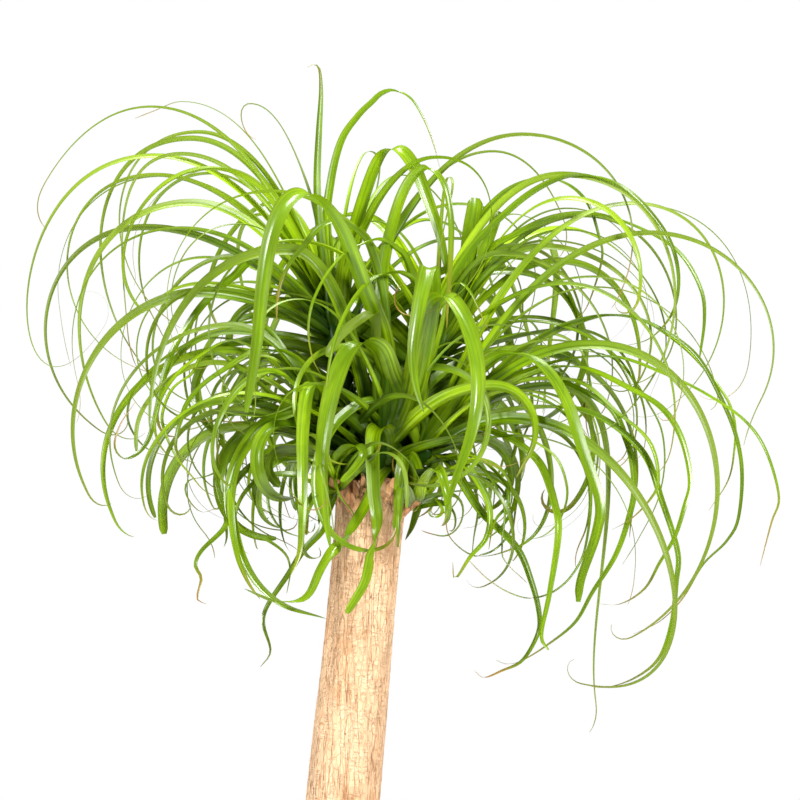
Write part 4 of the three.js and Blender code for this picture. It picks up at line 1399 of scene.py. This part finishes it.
def add_led(build, head, led, draw):
    """A leaf that is led through points, turned a little more to the front than it would grow."""
    root = root_of(head, LED["root"])
    share = np.arange(1, len(led["points"]) + 1) / len(led["points"])
    depths = blend(root[1], led["depth"], smooth(0, LED["settled"], share))
    line = through([root, *((x, y, z) for (x, z), y in zip(led["points"], depths))], LED["steps"])
    growing = np.cross(UP, unit(level(line[-1] - root)))
    leaf = {
        "led": True,
        "kept": 1,
        "age": LED["age"],
        "roll": math.radians(LED["roll"] * (draw() - 0.5)),
        "twist": LED["twist"] * (draw() - 0.5),
        "tone": draw(),
        **led,
    }
    if "turns_over" in led:
        leaf["twist"] = 0
    add_sheet(build, line, unit(growing + ACROSS * LED["turned"]), leaf, draw)


def add_stem(build, head):
    """A head's stem, ringed with scars: dark green on the heads, in painted shade, and papery on the two
    small shoots.
    """
    rings, sides, girth = STEM["rings"], STEM["sides"], head["girth"]
    middle = resampled(bezier(stem_handles(head), STEM["drawn_points"]), rings)
    ahead = units(np.gradient(middle, axis=0))
    side = units(np.cross(BACK, ahead))
    other = np.cross(ahead, side)
    points = []
    for ring in range(rings + 1):
        radius = girth * blend(STEM["foot"], STEM["tip"], ring / rings)
        if ring % 2 == 0:
            radius *= 1 - STEM["groove"]
        for turn in turns_round(sides):
            out = side[ring] * math.cos(turn) + other[ring] * math.sin(turn)
            points.append(middle[ring] + radius * out)
    points.append(middle[-1] + ahead[-1] * girth * STEM["tip"])
    faces = grid_faces(rings + 1, sides, closed=True)
    faces += fan(len(points) - 1, list(range(rings * sides, (rings + 1) * sides)))
    # On a head, along 0.1 and age 1 give the stem the painted shade of the leaves' roots.
    build.add(points, faces, 1 if girth < 1 else 0, along=0.1, tone=0.0, age=1.0)


def head_mesh(head):
    """A head: its stem, the leaves that arch over, the thin ones, and those that are led through points."""
    build = Build()
    tree = corners_of(head["name"])
    add_stem(build, head)
    draw = draws_from(head["seed"] + SEEDS["sheets"])
    for leaf in leaves_of(head):
        drawn = as_drawn(leaf, tree)
        if not leaf["named"]:
            drawn = {**drawn, "width": drawn["width"] * SHEET["inner"]}
        add_arch(build, drawn, draw)
    for wisp in wisps_of(head):
        add_arch(build, wisp, draw)
    draw = draws_from(head["seed"] + SEEDS["led"])
    for led in LED_LEAVES.get(head["name"], []):
        add_led(build, head, led, draw)
    return build


def leaf_patches(build):
    """The middle and area of each face of a head's leaves."""
    points = np.concatenate(build.points)
    corners = points[np.array([face for face in build.faces if len(face) == 4])]
    diagonals = corners[:, 2] - corners[:, 0], corners[:, 3] - corners[:, 1]
    return corners.mean(axis=1), np.linalg.norm(np.cross(*diagonals), axis=1) / 2


def shade_heads(builds):
    """Marks each point with how much open air it sees through the leaves, 1 far outside them, for the
    painted shade of the leaves' colour.
    """
    middles, areas = (np.concatenate(parts) for parts in zip(*map(leaf_patches, builds)))
    cell = SHADE["cell"]
    low = middles.min(axis=0) - cell
    counts = np.ceil((middles.max(axis=0) + cell - low) / cell).astype(int)
    held = np.zeros(counts + 1)
    np.add.at(held, tuple(((middles - low) / cell).astype(int).T), areas * SHADE["dense"] / cell**3)
    sides = (-1.0, 0.0, 1.0)
    views = [unit(np.array([x, y, z])) for x in sides for y in sides for z in sides if x or y or z]
    for build in builds:
        points = np.concatenate(build.points)
        seen = np.zeros(len(points))
        for view in views:
            passed = np.zeros(len(points))
            for reach in range(SHADE["step"], SHADE["reach"], SHADE["step"]):
                at = np.clip(((points + view * reach - low) / cell).astype(int), 0, counts)
                passed += held[tuple(at.T)] * SHADE["step"]
            seen += np.exp(-passed) / len(views)
        build.marks["air"] = [seen]


# Pot and soil


def pot_inner_radius(z):
    low, high = POT["floor"] + POT["cove"], POT["height"] - POT["lip"]
    foot = POT["foot"] - POT["wall"] + POT["lip"]
    return blend(foot, POT["rim"] - POT["wall"] - POT["lip"], (z - low) / (high - low))


def softened(corners, reach, steps=5, most=0.45):
    """A line whose corners are rounded off over a reach, or over a share of an edge that is too short."""
    corners = np.asarray(corners, float)
    line = [corners[0]]
    for before, corner, after in zip(corners, corners[1:], corners[2:]):
        start, end = (
            corner + unit(beside - corner) * min(reach, most * np.linalg.norm(beside - corner))
            for beside in (before, after)
        )
        line += list(bezier((start, corner, end), steps))
    line.append(corners[-1])
    return line


def turned(profile, sides):
    """A body turned on a lathe from a profile of radius and height that starts and ends on the axis."""
    inner = profile[1:-1]
    circle = [around(turn) for turn in turns_round(sides)]
    points = [way * radius + UP * z for radius, z in inner for way in circle]
    points += [UP * profile[0][1], UP * profile[-1][1]]
    return np.array(points), capped_faces(len(inner), sides)


def drain_cutter():
    cutter = Build()
    low, high = DRAIN["drilled"]
    profile = [(0, low), (DRAIN["radius"], low), (DRAIN["radius"], high), (0, high)]
    points, faces = turned(profile, DRAIN["sides"])
    for i in range(DRAIN["count"]):
        cutter.add(points + compass(DRAIN["first"] + i * 360 / DRAIN["count"]) * DRAIN["circle"], faces)
    return cutter.mesh_object("drain_cutter")


def pot_piece(clay):
    height, foot, rim, floor = POT["height"], POT["foot"], POT["rim"], POT["floor"]
    shoulder, cove = height - POT["rim_height"], floor + POT["cove"]
    corners = [
        (0, 0),
        (foot, 0),
        (rim - POT["rim_step"], shoulder),
        (rim, shoulder),
        (rim, height),
        (pot_inner_radius(height), height),
        (pot_inner_radius(cove), cove),
        (pot_inner_radius(cove) - POT["cove"], floor),
        (0, floor),
    ]
    pot = Build()
    pot.add(*turned(softened(corners, 2 * POT["lip"]), POT["sides"]))
    piece = pot.piece("clay_pot", [clay], "clay", "pot")
    tool = drain_cutter()
    cut = piece.modifiers.new("drain_holes", "BOOLEAN")
    cut.object = tool
    cut.solver = "EXACT"
    bpy.context.view_layer.update()
    drilled = piece.evaluated_get(bpy.context.evaluated_depsgraph_get())
    result = bpy.data.meshes.new_from_object(drilled)
    piece.modifiers.clear()
    piece.data = result
    result.shade_smooth()
    result.set_sharp_from_angle(angle=math.radians(POT["sharp"]))
    bpy.data.objects.remove(tool)


def soil_mesh():
    """The soil fills the pot and is mounded and lumpy on top."""
    gap, floor, cove = SOIL["gap"], POT["floor"], POT["floor"] + POT["cove"]
    rim = pot_inner_radius(SOIL["level"]) - gap
    profile = [
        (0, floor + gap),
        (pot_inner_radius(cove) - POT["cove"] - gap, floor + gap),
        (pot_inner_radius(cove) - gap, cove + gap),
        (rim, SOIL["level"]),
    ]
    for ring in range(1, SOIL["rings"] + 1):
        share = 1 - ring / SOIL["rings"]
        profile.append((rim * share, SOIL["level"] + SOIL["mound"] * (1 - share**2)))
    points, faces = turned(profile, SOIL["sides"])
    for point in points[3 * SOIL["sides"] : -2]:
        x, y, _ = point
        point[2] += SOIL["lump_height"] * lumps(x, y, 0, SOIL["lumps"])
        point[2] += SOIL["crumb_height"] * lumps(x, y, 0, SOIL["crumbs"])
    soil = Build()
    soil.add(points, faces)
    return soil


def pebble():
    """The points and faces of a round pebble with a radius of 1."""
    blank = bmesh.new()
    bmesh.ops.create_icosphere(blank, subdivisions=2, radius=1)
    points = np.array([v.co[:] for v in blank.verts])
    faces = [tuple(v.index for v in f.verts) for f in blank.faces]
    blank.free()
    return points, faces


def chips_mesh():
    """Bark chips and crumbs that lie on the soil, between the trunk's foot and the rim."""
    chips = Build()
    draw = draws_from(CHIPS["seed"])
    ball, ball_faces = pebble()
    trunk, rim = trunk_radius(SOIL["level"] + SOIL["mound"] / 2), pot_inner_radius(SOIL["level"])
    for _ in range(CHIPS["count"]):
        turn = draw() * TURN
        size = blend(*CHIPS["size"], draw() ** 2)
        reach = blend(trunk + CHIPS["from_trunk"], rim - size - CHIPS["from_rim"], draw())
        foot = level(trunk_centre(SOIL["level"]))
        at = foot * (1 - (reach - trunk) / (rim - trunk)) + around(turn) * reach
        share = np.linalg.norm(at) / rim
        at[2] = SOIL["level"] + SOIL["mound"] * (1 - share**2) + size * CHIPS["raised"]
        breadth, thickness = blend(*CHIPS["breadth"], draw()), blend(*CHIPS["thickness"], draw())
        apart = Vector((turn * CHIPS["apart"], reach, 0))
        bumps = [noise.noise(Vector(point * CHIPS["bumps"]) + apart) for point in ball]
        lumpy = 1 + CHIPS["bump_height"] * np.array(bumps)
        shape = ball * size * (1, breadth, thickness) * lumpy[:, None]
        heading, tip = draw() * TURN, blend(*CHIPS["tipped"], draw())
        c, s = math.cos(tip), math.sin(tip)
        tipped = np.array([[c, 0, s], [0, 1, 0], [-s, 0, c]])
        chips.add(shape @ (spin(heading) @ tipped).T + at, ball_faces, tone=draw())
    return chips


# Studio


def floor_piece(material):
    place = (0, 0, -FLOOR["below"])
    sides, radius = FLOOR["sides"], FLOOR["radius"]
    bpy.ops.mesh.primitive_circle_add(vertices=sides, radius=radius, fill_type="NGON", location=place)
    floor = bpy.context.object
    floor.name = "floor"
    floor.data.materials.append(material)


def soft_light(name, place, size, power):
    data = bpy.data.lights.new(name, "AREA")
    data.shape = "SQUARE"
    data.size = size
    data.energy = power
    light = bpy.data.objects.new(name, data)
    light.location = place
    light.rotation_euler = (Vector(LOOK_AT) - Vector(place)).to_track_quat("-Z", "Y").to_euler()
    bpy.context.scene.collection.objects.link(light)


def surroundings():
    """White for the camera, and a faint light on the plant."""
    world = bpy.data.worlds.new("studio")
    world.use_nodes = True
    nodes, links = world.node_tree.nodes, world.node_tree.links
    backdrop = nodes["Background"]
    backdrop.inputs["Color"].default_value = (1, 1, 1, 1)
    power = nodes.new("ShaderNodeMapRange")
    power.inputs["To Min"].default_value = SKY_LIGHT
    links.new(nodes.new("ShaderNodeLightPath").outputs["Is Camera Ray"], power.inputs["Value"])
    links.new(power.outputs["Result"], backdrop.inputs["Strength"])
    bpy.context.scene.world = world


def camera():
    """A level camera at the photograph's height."""
    lens = bpy.data.cameras.new("camera")
    lens.sensor_width = CAMERA["sensor"]
    lens.lens = CAMERA["lens"]
    eye = bpy.data.objects.new("camera", lens)
    eye.location = CAMERA["place"]
    eye.rotation_euler = (math.radians(90), 0, 0)
    bpy.context.scene.collection.objects.link(eye)
    bpy.context.scene.camera = eye


waxy_leaf = leaf_material()
papery = scale_material()
heads = [head_mesh(head) for head in HEADS]
shade_heads(heads)
for head, build in zip(HEADS, heads):
    build.piece("leaves_" + head["name"], [waxy_leaf, papery], "leaf", head["name"])
trunk_mesh().piece("bark_trunk", [bark_material()], "cork", "trunk")
collar_mesh().piece("torn_leaf_bases", [papery], "cork")
pot_piece(clay_material())
soil_mesh().piece("potting_soil", [soil_material()], "compost", "soil")
chips_mesh().piece("soil_chips", [chip_material()], "compost")

floor_piece(floor_material())
for light in LIGHTS:
    soft_light(*light)
surroundings()
camera()
bpy.context.scene.view_settings.view_transform = "Standard"
